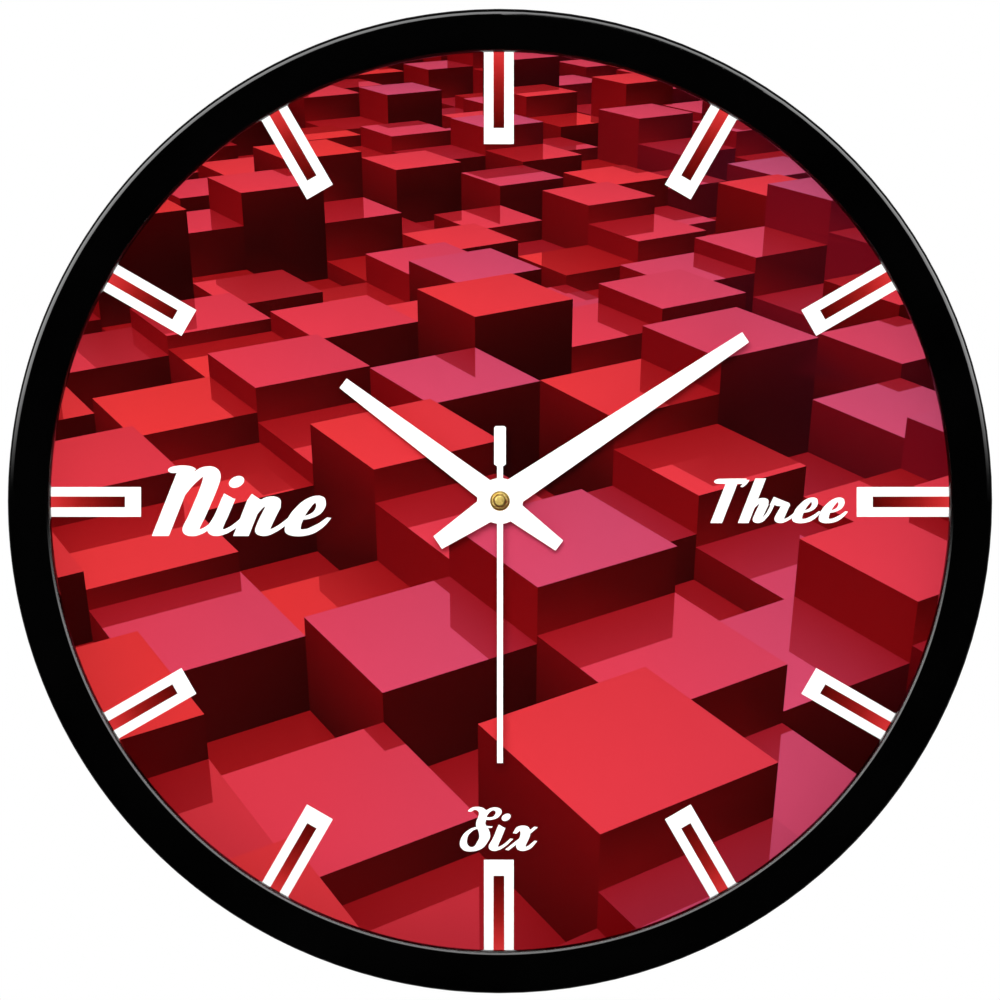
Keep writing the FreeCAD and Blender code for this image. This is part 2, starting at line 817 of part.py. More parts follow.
def make_movement_front_case():
    """The half that faces the dial: gear chamber, battery bay, posts and pivot holes."""
    body = case_block("movement_front_case", "case_split", "case_front - case_split")
    inner = "case_half - case_wall"
    chamber_front = "case_front - case_front_wall"
    chamber = sketch_on(body, "XZ_Plane", chamber_front)
    rectangle(chamber, "-(%s)" % inner, "cell_high + divider", inner, inner)
    pocket(body, chamber, chamber_front + " - case_split")
    bay = sketch_on(body, "XZ_Plane", "cell_floor")
    rectangle(bay, "-(%s)" % inner, "cell_low", inner, "cell_high")
    pocket(body, bay, "cell_floor - case_split")
    post = sketch_on(body, "XZ_Plane", "minute_post_back")
    circle(post, "minute_post", **spot(MINUTE))
    pad(body, post, chamber_front + " - minute_post_back + overlap")
    pillars = sketch_on(body, "XZ_Plane", "middle_back + middle_thickness")
    for place in PILLARS:
        circle(pillars, "pillar_radius", **spot(place))
    pad(body, pillars, chamber_front + " - middle_back - middle_thickness + overlap")
    centre = sketch_on(body, "XZ_Plane", "case_front")
    circle(centre, "bush_radius")
    pocket(body, centre, "case_front_wall")
    pivots = [(THIRD, "third_arbor + running_gap"), (KNOB, "knob_shaft + running_gap")]
    blind_holes(body, chamber_front + " + front_pivot_depth", "front_pivot_depth", pivots)


def make_movement_back_case():
    """The half that faces the wall: open over the battery, pierced for the setting knob."""
    body = case_block("movement_back_case", "case_back", "case_split - case_back")
    inner = "case_half - case_wall"
    chamber = sketch_on(body, "XZ_Plane", "case_split")
    rectangle(chamber, "-(%s)" % inner, "cell_high + divider", inner, inner)
    pocket(body, chamber, "case_split - case_back - case_wall")
    bay = sketch_on(body, "XZ_Plane", "case_split")
    rectangle(bay, "-(%s)" % inner, "cell_low", inner, "cell_high")
    pocket(body, bay, "case_split - case_back")
    floor = "case_back + case_wall"
    pivots = [
        (AXIS, "second_arbor + running_gap"),
        (THIRD, "third_arbor + running_gap"),
        (INTERMEDIATE, "fine_arbor + running_gap"),
        (ROTOR, "fine_arbor + running_gap"),
    ]
    blind_holes(body, floor, "pivot_depth", pivots)
    blind_holes(body, floor, "case_wall", [(KNOB, "knob_shaft + running_gap")])


def make_middle_plate():
    """The plate between the two gear layers, which carries the fine arbors' front pivots."""
    body = new_body("middle_plate")
    outline = sketch_on(body, "XZ_Plane", "middle_back")
    rectangle(outline, "middle_left", "middle_low", "middle_right", "middle_high")
    pad(body, outline, "middle_thickness")
    soften(body, "pillar_radius", outer_corner)
    holes = [
        (AXIS, "second_arbor + running_gap"),
        (THIRD, "pillar_radius"),
        (INTERMEDIATE, "fine_arbor + running_gap"),
        (ROTOR, "fine_arbor + running_gap"),
        (KNOB, "knob_shaft + running_gap"),
    ]
    blind_holes(body, "middle_back + middle_thickness", "middle_thickness", holes)


def make_fixing():
    """The bushing that passes through the dial, with its rubber washer, washer and nut."""
    inside = "case_front - case_front_wall"
    collar = "dial_depth - plate_wall"
    lathe(
        "threaded_bushing",
        [
            ("bush_bore", inside),
            ("bush_radius", inside),
            ("bush_radius", "case_front"),
            ("collar_radius", "case_front"),
            ("collar_radius", collar),
            ("bush_radius", collar),
            ("bush_radius", "bush_front - bush_chamfer"),
            ("bush_radius - bush_chamfer", "bush_front"),
            ("bush_bore", "bush_front"),
        ],
    )
    ring("rubber_washer", "rubber_inner", "rubber_outer", "case_front", collar + " - case_front")
    dial_front = "dial_depth + dial_thickness"
    ring("bushing_washer", "bush_radius", "washer_radius", dial_front, "washer_thickness")
    nut_back = dial_front + " + washer_thickness"
    hexagon = doc.addObject("Part::Prism", "nut_hexagon")
    hexagon.Polygon = 6
    bind(hexagon, "Circumradius", "nut_corner_radius")
    bind(hexagon, "Height", "nut_thickness")
    thread = doc.addObject("Part::Cylinder", "nut_thread")
    bind(thread, "Radius", "bush_radius")
    bind(thread, "Height", "nut_thickness")
    nut = doc.addObject("Part::Cut", "nut_cut")
    nut.Base = hexagon
    nut.Tool = thread
    upright = FreeCAD.Rotation(FreeCAD.Vector(1, 0, 0), 90)
    nut.Placement = FreeCAD.Placement(FreeCAD.Vector(0, -value_of(nut_back), 0), upright)
    finished(nut, "bushing_nut")


# ---------------------------------------------------------------- electrics


def make_stator():
    """The soft-iron plate that leads the coil's field round the rotor."""
    body = new_body("stator")
    for left, right, high in (
        ("stator_left", "stator_right", "stator_bridge"),
        ("stator_left", "coil_left - coil_play", "core_high"),
        ("coil_right + coil_play", "stator_right", "core_high"),
    ):
        piece = sketch_on(body, "XZ_Plane", "stator_back")
        rectangle(piece, left, "stator_low", right, high)
        pad(body, piece, "stator_thickness")
    eye = sketch_on(body, "XZ_Plane", "stator_back")
    circle(eye, "stator_eye", **spot(ROTOR))
    pad(body, eye, "stator_thickness")
    front = "stator_back + stator_thickness"
    blind_holes(body, front, "stator_thickness", [(ROTOR, "stator_hole")])
    offset = size("stator_notch_offset")
    notches = [((ROTOR[0], ROTOR[1] + step), "stator_notch") for step in (offset, -offset)]
    blind_holes(body, front, "stator_thickness", notches)


def cylinder_along_x(name, radius, left, right, height, depth):
    """A round bar that runs from left to right."""
    bar = doc.addObject("Part::Cylinder", name)
    bind(bar, "Radius", radius)
    bind(bar, "Height", "%s - (%s)" % (right, left))
    start = FreeCAD.Vector(value_of(left), -value_of(depth), value_of(height))
    bar.Placement = FreeCAD.Placement(start, FreeCAD.Rotation(FreeCAD.Vector(0, 1, 0), 90))
    return bar


def cut(name, base, tool):
    result = doc.addObject("Part::Cut", name)
    result.Base = base
    result.Tool = tool
    return result


def fuse(name, pieces):
    result = doc.addObject("Part::MultiFuse", name)
    result.Shapes = pieces
    return result


def make_coil():
    """The motor coil: a plastic bobbin on a steel core, wound with copper wire."""
    core_back = "stator_back + stator_thickness"
    core = new_body("coil_core")
    strip = sketch_on(core, "XZ_Plane", core_back)
    rectangle(strip, "stator_left", "core_low", "stator_right", "core_high")
    pad(core, strip, "core_thickness")
    height = "(core_low + core_high) / 2"
    depth = core_back + " + core_thickness / 2"
    barrel = cylinder_along_x("coil_barrel", "coil_barrel", "coil_left", "coil_right", height, depth)
    flanges = [
        cylinder_along_x("coil_flange_left", "coil_flange", left, right, height, depth)
        for left, right in (
            ("coil_left", "coil_left + coil_flange_thickness"),
            ("coil_right - coil_flange_thickness", "coil_right"),
        )
    ]
    channel = doc.addObject("Part::Box", "coil_channel")
    bind(channel, "Length", "coil_right - coil_left + 2 * overlap")
    bind(channel, "Width", "core_thickness")
    bind(channel, "Height", "core_high - core_low")
    corner = ("coil_left - overlap", core_back + " + core_thickness", "core_low")
    x, back, z = [value_of(text) for text in corner]
    channel.Placement = FreeCAD.Placement(FreeCAD.Vector(x, -back, z), FreeCAD.Rotation())
    bobbin = cut("bobbin_cut", fuse("bobbin_solid", [barrel] + flanges), channel)
    finished(bobbin, "coil_bobbin")
    left = "coil_left + coil_flange_thickness"
    right = "coil_right - coil_flange_thickness"
    outside = cylinder_along_x("winding_outside", "coil_radius", left, right, height, depth)
    inside = cylinder_along_x("winding_inside", "coil_barrel", left, right, height, depth)
    finished(cut("winding_cut", outside, inside), "coil_winding")


def make_circuit_board():
    """The small board with its bonded chip and the tuning-fork crystal in its can."""
    board = new_body("circuit_board")
    outline = sketch_on(board, "XZ_Plane", "middle_back")
    rectangle(outline, "board_left", "board_low", "board_right", "board_high")
    pad(board, outline, "middle_thickness")
    board_back = size("middle_back")
    blob = doc.addObject("Part::Sphere", "blob_sphere")
    bind(blob, "Radius", "blob_radius")
    blob.Angle1 = BLOB_ANGLE
    sunk = size("blob_radius") * math.sin(math.radians(BLOB_ANGLE))
    centre = FreeCAD.Vector(size("blob_across"), -board_back - sunk, size("blob_up"))
    blob.Placement = FreeCAD.Placement(centre, FreeCAD.Rotation(FreeCAD.Vector(1, 0, 0), -90))
    finished(blob, "ic_blob")
    can = doc.addObject("Part::Cylinder", "crystal_can")
    bind(can, "Radius", "crystal_radius")
    bind(can, "Height", "crystal_length")
    can.Placement.Base = FreeCAD.Vector(
        size("crystal_across"), size("crystal_radius") - board_back, size("crystal_low")
    )
    finished(can, "quartz_crystal")


def make_contacts():
    """Sprung strips at the two ends of the battery bay."""
    low = "cell_low + contact_low_gap"
    high = "cell_high - contact_high_gap"
    plus = new_body("battery_contact_positive")
    face = sketch_on(plus, "XZ_Plane", "cell_depth - plate_half_width")
    rectangle(face, "contact_face - contact_thickness", low, "contact_face", high)
    pad(plus, face, "2 * plate_half_width")
    minus = new_body("battery_contact_negative")
    leaf = sketch_on(minus, "XZ_Plane", "cell_depth - leaf_half_width")
    back = "-contact_face"
    inside = "-contact_face + contact_thickness"
    tip = "cell_left - leaf_tip_gap"
    end = "cell_height + leaf_rise"
    polygon(
        leaf,
        [
            (back, high),
            (back, low),
            (back + " + leaf_fold_width", low),
            (tip, "cell_height"),
            (tip + " - leaf_lean", end),
            (tip + " - leaf_lean - leaf_end_width", end + " - leaf_end_drop"),
            (tip + " - leaf_tip_thickness", "cell_height"),
            (inside, "cell_low + leaf_fold_rise"),
            (inside, high),
        ],
    )
    pad(minus, leaf, "2 * leaf_half_width")


def make_battery():
    """A plain AA cell lying across the bottom of the movement: steel can and outer sleeve."""
    inner = "cell_radius - cell_sleeve"
    place = ("cell_height", "cell_depth")
    can = cylinder_along_x("cell_can", inner, "cell_left", "cell_shoulder", *place)
    nub = cylinder_along_x("cell_nub", "cell_nub_radius", "cell_shoulder", "cell_nub_end", *place)
    finished(fuse("cell_solid", [can, nub]), "battery_can")
    ends = ("cell_left + sleeve_end_gap", "cell_shoulder - sleeve_end_gap")
    outside = cylinder_along_x("sleeve_outside", "cell_radius", *ends, *place)
    inside = cylinder_along_x("sleeve_inside", inner, *ends, *place)
    finished(cut("sleeve_cut", outside, inside), "battery_sleeve")


# ---------------------------------------------------------------- wheels


def make_rotor():
    """The magnet and the pinion it drives."""
    towards = bearing_of(ROTOR, INTERMEDIATE)
    pinion = wheel("rotor_pinion", ROTOR_TEETH, size("rotor_module"), PINION_ADDENDUM, towards)
    arbor = disc(size("fine_arbor"), size("arbor_back"), size("fine_arbor_front"))
    hub = disc(size("rotor_hub"), size("rotor_pinion_front"), size("magnet_back"))
    feature("rotor_pinion", pinion.fuse([arbor, hub]).removeSplitter(), ROTOR)
    magnet = disc(
        size("magnet_radius"), size("magnet_back"), size("magnet_front"), size("fine_arbor")
    )
    feature("rotor_magnet", magnet, ROTOR)


def make_intermediate_wheel():
    name = "intermediate_wheel"
    driver = bearing_of(ROTOR, INTERMEDIATE)
    phase = mesh_phase(driver, ROTOR_TEETH, INTERMEDIATE_TEETH, driver)
    web = wheel(name, INTERMEDIATE_TEETH, size("rotor_module"), WHEEL_ADDENDUM, phase)
    onward = bearing_of(INTERMEDIATE, AXIS)
    ends = (size("intermediate_wheel_front"), size("intermediate_pinion_front"))
    teeth = INTERMEDIATE_PINION_TEETH
    pinion = gear(teeth, size("second_module"), PINION_ADDENDUM, onward, *ends)
    arbor = disc(size("fine_arbor"), size("arbor_back"), size("fine_arbor_front"))
    solid = lightened(web, name).fuse([pinion, arbor])
    feature(name, solid.removeSplitter(), INTERMEDIATE)


def make_second_wheel():
    """The wheel, pinion and long thin arbor that carries the second hand."""
    name = "second_wheel"
    driver = bearing_of(INTERMEDIATE, AXIS)
    phase = mesh_phase(driver, INTERMEDIATE_PINION_TEETH, SECOND_TEETH, driver)
    web = wheel(name, SECOND_TEETH, size("second_module"), WHEEL_ADDENDUM, phase)
    onward = bearing_of(AXIS, THIRD)
    ends = (size("second_wheel_front"), size("second_pinion_front"))
    pinion = gear(SECOND_PINION_TEETH, size("third_module"), PINION_ADDENDUM, onward, *ends)
    arbor = disc(size("second_arbor"), size("arbor_back"), size("second_arbor_front"))
    feature(name, lightened(web, name).fuse([pinion, arbor]).removeSplitter())


def make_third_wheel():
    name = "third_wheel"
    driver = bearing_of(AXIS, THIRD)
    phase = mesh_phase(driver, SECOND_PINION_TEETH, THIRD_TEETH, driver)
    web = wheel(name, THIRD_TEETH, size("third_module"), WHEEL_ADDENDUM, phase)
    onward = bearing_of(THIRD, AXIS)
    teeth = THIRD_PINION_TEETH
    pinion = wheel("third_pinion", teeth, size("centre_module"), PINION_ADDENDUM, onward)
    hub = disc(size("third_hub"), size("third_wheel_front"), size("third_pinion_back"))
    arbor = disc(size("third_arbor"), size("arbor_back"), size("long_arbor_front"))
    feature(name, lightened(web, name).fuse([pinion, hub, arbor]).removeSplitter(), THIRD)


def make_minute_train():
    """The centre wheel, gripped by friction on the cannon pinion that carries the minute hand."""
    name = "centre_wheel"
    driver = bearing_of(THIRD, AXIS)
    phase = mesh_phase(driver, THIRD_PINION_TEETH, CENTRE_TEETH, driver)
    grip = size("cannon_radius")
    web = wheel(name, CENTRE_TEETH, size("centre_module"), WHEEL_ADDENDUM, phase, grip)
    feature(name, lightened(web, name))
    onward = bearing_of(AXIS, MINUTE)
    bore = size("cannon_bore")
    module = size("motion_module")
    pinion = wheel("cannon_pinion", CANNON_TEETH, module, PINION_ADDENDUM, onward, bore)
    tube = disc(grip, size("cannon_back"), size("cannon_front"), bore)
    feature("cannon_pinion", pinion.fuse(tube).removeSplitter())


def make_minute_wheel():
    """The motion-work wheel between the cannon pinion, the hour wheel and the setting knob."""
    driver = bearing_of(AXIS, MINUTE)
    phase = mesh_phase(driver, CANNON_TEETH, MINUTE_TEETH, driver)
    module = size("motion_module")
    bore = size("minute_wheel_bore")
    web = wheel("minute_wheel", MINUTE_TEETH, module, PINION_ADDENDUM, phase, bore)
    onward = bearing_of(MINUTE, AXIS)
    teeth = MINUTE_PINION_TEETH
    ends = (size("minute_wheel_front"), size("minute_pinion_front"))
    pinion = gear(teeth, module, PINION_ADDENDUM, onward, *ends, bore)
    feature("minute_wheel", web.fuse(pinion).removeSplitter(), MINUTE)
    return phase


def make_hour_wheel():
    name = "hour_wheel"
    driver = bearing_of(MINUTE, AXIS)
    phase = mesh_phase(driver, MINUTE_PINION_TEETH, HOUR_TEETH, driver)
    bore = size("hour_tube_bore")
    web = wheel(name, HOUR_TEETH, size("motion_module"), WHEEL_ADDENDUM, phase, bore)
    tube = disc(size("hour_tube_radius"), size("hour_tube_back"), size("hour_tube_front"), bore)
    feature(name, lightened(web, name).fuse(tube).removeSplitter())


def make_setting_knob(minute_phase):
    """The fluted knob behind the case, whose pinion turns the minute wheel."""
    towards = bearing_of(MINUTE, KNOB)
    phase = mesh_phase(minute_phase, MINUTE_TEETH, KNOB_TEETH, towards)
    module = size("motion_module")
    pinion = wheel("cannon_pinion", KNOB_TEETH, module, PINION_ADDENDUM, phase)
    shaft = disc(size("knob_shaft"), size("knob_front"), size("long_arbor_front"))
    reach = size("knob_radius")
    knob = disc(reach, size("knob_back"), size("knob_front"))
    length = size("knob_front") - size("knob_back")
    flute = size("knob_flute_radius")
    flutes = int(size("knob_flutes"))
    for index in range(flutes):
        angle = 2 * math.pi * index / flutes
        start = FreeCAD.Vector(reach * math.cos(angle), -size("knob_back"), reach * math.sin(angle))
        knob = knob.cut(Part.makeCylinder(flute, length, start, FreeCAD.Vector(0, -1, 0)))
    feature("setting_knob", knob.fuse([shaft, pinion]).removeSplitter(), KNOB)


# ---------------------------------------------------------------- hands


def turned_to(body, angle):
    """Turns a hand drawn at twelve o'clock to its place, clockwise as seen from the front."""
    body.Placement = FreeCAD.Placement(
        FreeCAD.Vector(0, 0, 0), FreeCAD.Rotation(FreeCAD.Vector(0, 1, 0), size(angle))
    )


def blade(label, points, hub, hole, depth, angle):
    """A hand punched from sheet: a long blade and tail, a round hub, and a hole for its bush."""
    body = new_body(label)
    outline = sketch_on(body, "XZ_Plane", depth)
    polygon(outline, points)
    pad(body, outline, "hand_sheet")
    disc_sketch = sketch_on(body, "XZ_Plane", depth)
    circle(disc_sketch, hub)
    pad(body, disc_sketch, "hand_sheet")
    eye = sketch_on(body, "XZ_Plane", depth + " + hand_sheet")
    circle(eye, hole)
    pocket(body, eye, "hand_sheet")
    front = value_of(depth) + size("hand_sheet")
    hole_radius = value_of(hole)
    soften(
        body,
        "hand_edge_round",
        lambda edge: at_depth(edge, front) and not circle_at(front, hole_radius)(edge),
    )
    turned_to(body, angle)
    return body


def tapered(name):
    """The six corners of a hand that narrows from its hub to its tip and its tail."""
    hub = name + "_hub_width / 2"
    tip = name + "_tip_width / 2"
    tail = name + "_tail_width / 2"
    return [
        ("-" + hub, "0"),
        ("-" + tail, "-%s_tail" % name),
        (tail, "-%s_tail" % name),
        (hub, "0"),
        (tip, name + "_length"),
        ("-" + tip, name + "_length"),
    ]


def hand_bush(label, bore, flange, neck, back, sheet_depth):
    """The flanged sleeve that holds a hand on its shaft."""
    front = sheet_depth + " + hand_sheet"
    lathe(
        label,
        [
            (bore, back),
            (flange, back),
            (flange, sheet_depth),
            (neck, sheet_depth),
            (neck, front),
            (bore, front),
        ],
    )


def make_hour_and_minute_hands():
    for name, bore in (("hour", "hour_tube_radius"), ("minute", "cannon_radius")):
        hand = name + "_hand"
        neck = name + "_bush_neck"
        depth = hand + "_depth"
        blade(hand, tapered(hand), "hub_radius", neck, depth, hand + "_angle")
        hand_bush(hand + "_bush", bore, name + "_bush_flange", neck, name + "_bush_back", depth)


def make_second_hand():
    """A needle with a paddle-shaped counterweight, its tube and the domed brass cap."""
    hub = "second_hand_hub_width / 2"
    tip = "second_hand_tip_width / 2"
    wide = "paddle_width / 2"
    right = [
        (hub, "-paddle_start"),
        (wide, "-paddle_start - paddle_shoulder"),
        (wide, "-paddle_end + paddle_corner"),
        (wide + " - paddle_corner", "-paddle_end"),
    ]
    left = [("-(%s)" % x, z) for x, z in reversed(right)]
    points = [("-" + tip, "second_hand_length"), (tip, "second_hand_length"), (hub, "0")]
    points += right + left + [("-" + hub, "0")]
    blade(
        "second_hand",
        points,
        "second_hand_disc",
        "second_tube_radius",
        "second_hand_depth",
        "second_hand_angle",
    )
    front = "second_hand_depth + hand_sheet"
    length = front + " - second_tube_back"
    ring("second_hand_tube", "second_arbor", "second_tube_radius", "second_tube_back", length)
    top = front + " + cap_height"
    skirt = front + " + cap_skirt"
    cap = lathe(
        "second_hand_cap",
        [
            ("0", "second_arbor_front"),
            ("second_arbor", "second_arbor_front"),
            ("second_arbor", front),
            ("cap_radius", front),
            ("cap_radius", skirt),
            ("cap_step_radius", skirt),
            ("cap_step_radius", top),
            ("0", top),
        ],
    )
    skirt_front = value_of(skirt)
    top_front = value_of(top)
    soften(cap, "cap_skirt_round", circle_at(skirt_front, size("cap_radius")))
    soften(cap, "cap_dome_round", circle_at(top_front, size("cap_step_radius")))


# ---------------------------------------------------------------- the whole clock

make_front_frame()
make_glass_stack()
make_back_case()
make_case_screws()
make_hanger()
make_movement_front_case()
make_movement_back_case()
make_middle_plate()
make_fixing()
make_stator()
make_coil()
make_circuit_board()
make_contacts()
make_battery()
make_rotor()
make_intermediate_wheel()
make_second_wheel()
make_third_wheel()
make_minute_train()
make_setting_knob(make_minute_wheel())
make_hour_wheel()
make_hour_and_minute_hands()
make_second_hand()
doc.recompute()

faults = [o.Name for o in doc.Objects if {"Invalid", "Error"} & set(o.State)]
for part in sub_parts:
    if part.Shape.isNull() or not part.Shape.isValid() or not part.Shape.Solids:
        faults.append(part.Label)
if faults:
    raise RuntimeError("these did not build: " + ", ".join(faults))

os.makedirs("parts", exist_ok=True)
for part in sub_parts:
    part.Shape.exportStep("parts/%s.step" % part.Label)
print(len(sub_parts), "sub-parts written")
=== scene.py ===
import json
import math
import random
from dataclasses import dataclass

import bmesh
import bpy
import numpy as np
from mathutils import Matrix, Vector
from mathutils.geometry import convex_hull_2d, delaunay_2d_cdt


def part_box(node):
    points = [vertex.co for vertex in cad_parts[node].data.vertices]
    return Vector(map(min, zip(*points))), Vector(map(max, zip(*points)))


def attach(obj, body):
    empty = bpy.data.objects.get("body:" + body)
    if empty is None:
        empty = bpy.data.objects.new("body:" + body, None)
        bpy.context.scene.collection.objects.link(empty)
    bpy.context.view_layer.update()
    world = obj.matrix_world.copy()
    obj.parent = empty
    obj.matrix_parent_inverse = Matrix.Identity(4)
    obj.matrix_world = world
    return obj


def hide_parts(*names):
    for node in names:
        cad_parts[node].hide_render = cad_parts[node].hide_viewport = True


# The looks of a round quartz wall clock, in metres. The dial faces -Y, +X is to the right
# and +Z is up. The printed dial, the hour marks and the hour words are made here, and every
# other piece is a CAD node that gets its material here.

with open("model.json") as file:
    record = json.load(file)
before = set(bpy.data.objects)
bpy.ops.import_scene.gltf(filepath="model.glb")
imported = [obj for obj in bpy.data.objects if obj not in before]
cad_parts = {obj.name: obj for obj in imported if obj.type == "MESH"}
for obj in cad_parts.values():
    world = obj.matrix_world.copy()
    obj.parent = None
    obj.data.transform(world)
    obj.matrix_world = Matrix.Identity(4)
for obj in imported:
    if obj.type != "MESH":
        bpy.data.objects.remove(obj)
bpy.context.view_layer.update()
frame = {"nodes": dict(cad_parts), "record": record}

MM = 0.001

# the dial, its middle hole, and the thickness of the white ink on it
DIAL_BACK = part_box("dial_print")[1].y
DIAL_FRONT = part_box("dial_print")[0].y
DIAL_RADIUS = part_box("dial_print")[1].x
HOLE_RADIUS = 4.15 * MM
INK = 0.03 * MM

# the rim: the radius of its lip's inner edge, the width of that edge's round with its blend,
# how far out its front face is flat, and where its polish and painted shade (pure black) give way to satin
# and painted light (a lighter grey), from the front
RIM_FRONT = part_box("front_frame")[0].y
LIP_RADIUS = 136.8 * MM
LIP_ROUND = 3.6 * MM
LIP_FLAT = 5.0 * MM
POLISH_AND_PAINTED_SHADE_END = 5 * MM
SATIN_AND_PAINTED_LIGHT_START = 7 * MM

# the pane's reflected share of light seen square on, and the print's gloss and brightness
GLASS_GLOSS = 0.034
PRINT_SHEEN = 0.05
PRINT_LEVEL = 0.78

# the hour marks and their slots, by distance from the hands' axis, and how far the marks'
# centre sits off that axis
MARK_WIDTH = 9.1 * MM
MARK_START = 109.5 * MM
MARK_END = 138.9 * MM
SLOT_WIDTH = 3.3 * MM
SLOT_START = 114.4 * MM
PRINT_SHIFT = (-0.35 * MM, -0.27 * MM)

# corners of a drawing nearer than this are one
JOIN = 0.001 * MM


# ---------------------------------------------------------------- small helpers


def linear(level):
    """One sRGB level from 0 to 255 as a linear value."""
    share = level / 255
    if share <= 0.04045:
        return share / 12.92
    return ((share + 0.055) / 1.055) ** 2.4


def paint(red, green, blue):
    """An sRGB colour as a linear RGB vector."""
    return Vector((linear(red), linear(green), linear(blue)))


def rgba(colour):
    return (colour[0], colour[1], colour[2], 1.0)


def clamp(number, low=0.0, high=1.0):
    return max(low, min(high, number))


def smooth(number):
    """An eased step from 0 to 1."""
    share = clamp(number)
    return share * share * (3 - 2 * share)


def new_piece(name, mesh_source, material):
    """A mesh object from a bmesh, riding on the clock's case."""
    mesh = bpy.data.meshes.new(name)
    mesh_source.to_mesh(mesh)
    mesh_source.free()
    piece = bpy.data.objects.new(name, mesh)
    bpy.context.scene.collection.objects.link(piece)
    mesh.materials.append(material)
    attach(piece, "case")
    return piece


# ---------------------------------------------------------------- material nodes


class Wiring:
    """A node tree, with short ways to add nodes and to link them."""

    def __init__(self, tree, coordinates):
        self.tree = tree
        self.place = self.node("ShaderNodeTexCoord").outputs[coordinates]

    def node(self, kind, **settings):
        made = self.tree.nodes.new(kind)
        for key, setting in settings.items():
            setattr(made, key, setting)
        return made

    def link(self, start, end):
        self.tree.links.new(start, end)

    def feed(self, source, socket):
        """Sets a socket to a number, or links a node's output to it."""
        if isinstance(source, (int, float)):
            socket.default_value = source
        else:
            self.link(source, socket)

    def math(self, operation, *sources):
        made = self.node("ShaderNodeMath", operation=operation)
        for source, socket in zip(sources, made.inputs):
            self.feed(source, socket)
        return made.outputs[0]

    def spread(self, factor, low, high, start=0.3, end=0.7, **settings):
        """The factor's range from start to end, mapped to low..high."""
        made = self.node("ShaderNodeMapRange", **settings)
        made.inputs["From Min"].default_value = start
        made.inputs["From Max"].default_value = end
        made.inputs["To Min"].default_value = low
        made.inputs["To Max"].default_value = high
        self.link(factor, made.inputs["Value"])
        return made.outputs["Result"]

    def axes(self):
        """A point's X, Y and Z."""
        parts = self.node("ShaderNodeSeparateXYZ")
        self.link(self.place, parts.inputs[0])
        return parts.outputs


class Look(Wiring):
    """A Principled material, and the patterns that drive its sockets."""

    def __init__(self, name):
        self.material = bpy.data.materials.new(name)
        self.material.use_nodes = True
        super().__init__(self.material.node_tree, "Object")
        self.shader = self.tree.nodes["Principled BSDF"]
        self.out = self.tree.nodes["Material Output"]

    def set(self, **values):
        """Sockets of the shader, with underscores for the spaces in their names."""
        for key, setting in values.items():
            self.shader.inputs[key.replace("_", " ")].default_value = setting

    def noise(self, scale, detail=4.0, stretch=(1, 1, 1), roughness=0.55):
        """A noise pattern on the object's own coordinates, stretched by a vector of scales."""
        mapping = self.node("ShaderNodeMapping")
        mapping.inputs["Scale"].default_value = stretch
        self.link(self.place, mapping.inputs["Vector"])
        made = self.node("ShaderNodeTexNoise")
        made.inputs["Scale"].default_value = scale
        made.inputs["Detail"].default_value = detail
        made.inputs["Roughness"].default_value = roughness
        self.link(mapping.outputs["Vector"], made.inputs["Vector"])
        return made.outputs["Fac"]

    def ramp(self, factor, stops):
        """A colour ramp from (position, colour) stops."""
        made = self.node("ShaderNodeValToRGB")
        elements = made.color_ramp.elements
        while len(elements) < len(stops):
            elements.new(0.5)
        for element, (position, colour) in zip(elements, stops):
            element.position = position
            element.color = rgba(colour)
        self.link(factor, made.inputs["Fac"])
        return made.outputs["Color"]

    def radius(self):
        """How far a point is from the hands' axis."""
        axes = self.axes()
        across = self.math("MULTIPLY", axes["X"], axes["X"])
        upright = self.math("MULTIPLY", axes["Z"], axes["Z"])
        return self.math("SQRT", self.math("ADD", across, upright))

    def bump(self, height, strength, distance):
        made = self.node("ShaderNodeBump")
        made.inputs["Strength"].default_value = strength
        made.inputs["Distance"].default_value = distance
        self.link(height, made.inputs["Height"])
        self.link(made.outputs["Normal"], self.shader.inputs["Normal"])
        return made

    def mottled(self, dark, light, scale, **noise):
        """Colour that drifts between two tones."""
        factor = self.noise(scale, **noise)
        self.link(self.ramp(factor, [(0.35, dark), (0.65, light)]), self.shader.inputs["Base Color"])

    def worn(self, low, high, scale, **noise):
        """Roughness that drifts between two values."""
        factor = self.noise(scale, **noise)
        self.link(self.spread(factor, low, high), self.shader.inputs["Roughness"])


def moulded(name, dark, light, rough=(0.35, 0.5), grain=1500, depth=0.02):
    """Injection-moulded plastic: fine skin texture and a slow drift of tone and gloss."""
    look = Look(name)
    look.mottled(dark, light, 60)
    look.worn(rough[0], rough[1], 35)
    look.bump(look.noise(grain, detail=3), 0.35, depth * MM)
    return look


def metal(name, dark, light, rough=(0.2, 0.35), stretch=(1, 1, 1), scale=400, depth=0.01):
    """Bare or plated metal: streaks of tone, gloss and tiny scratches along the stretch."""
    look = Look(name)
    look.set(Metallic=1.0)
    look.mottled(dark, light, scale, stretch=stretch)
    look.worn(rough[0], rough[1], scale * 0.4, stretch=stretch)
    look.bump(look.noise(scale * 3, stretch=stretch), 0.25, depth * MM)
    return look


def turned(name, dark, light, rough=(0.15, 0.3), pitch=0.12 * MM, depth=0.012):
    """Metal off a lathe: fine rings about the hands' axis."""
    look = Look(name)
    look.set(Metallic=1.0)
    look.mottled(dark, light, 350)
    look.worn(rough[0], rough[1], 500)
    turns = look.math("MULTIPLY", look.radius(), 2 * math.pi / pitch)
    look.bump(look.math("SINE", turns), 0.3, depth * MM)
    return look


# ---------------------------------------------------------------- materials of the CAD nodes


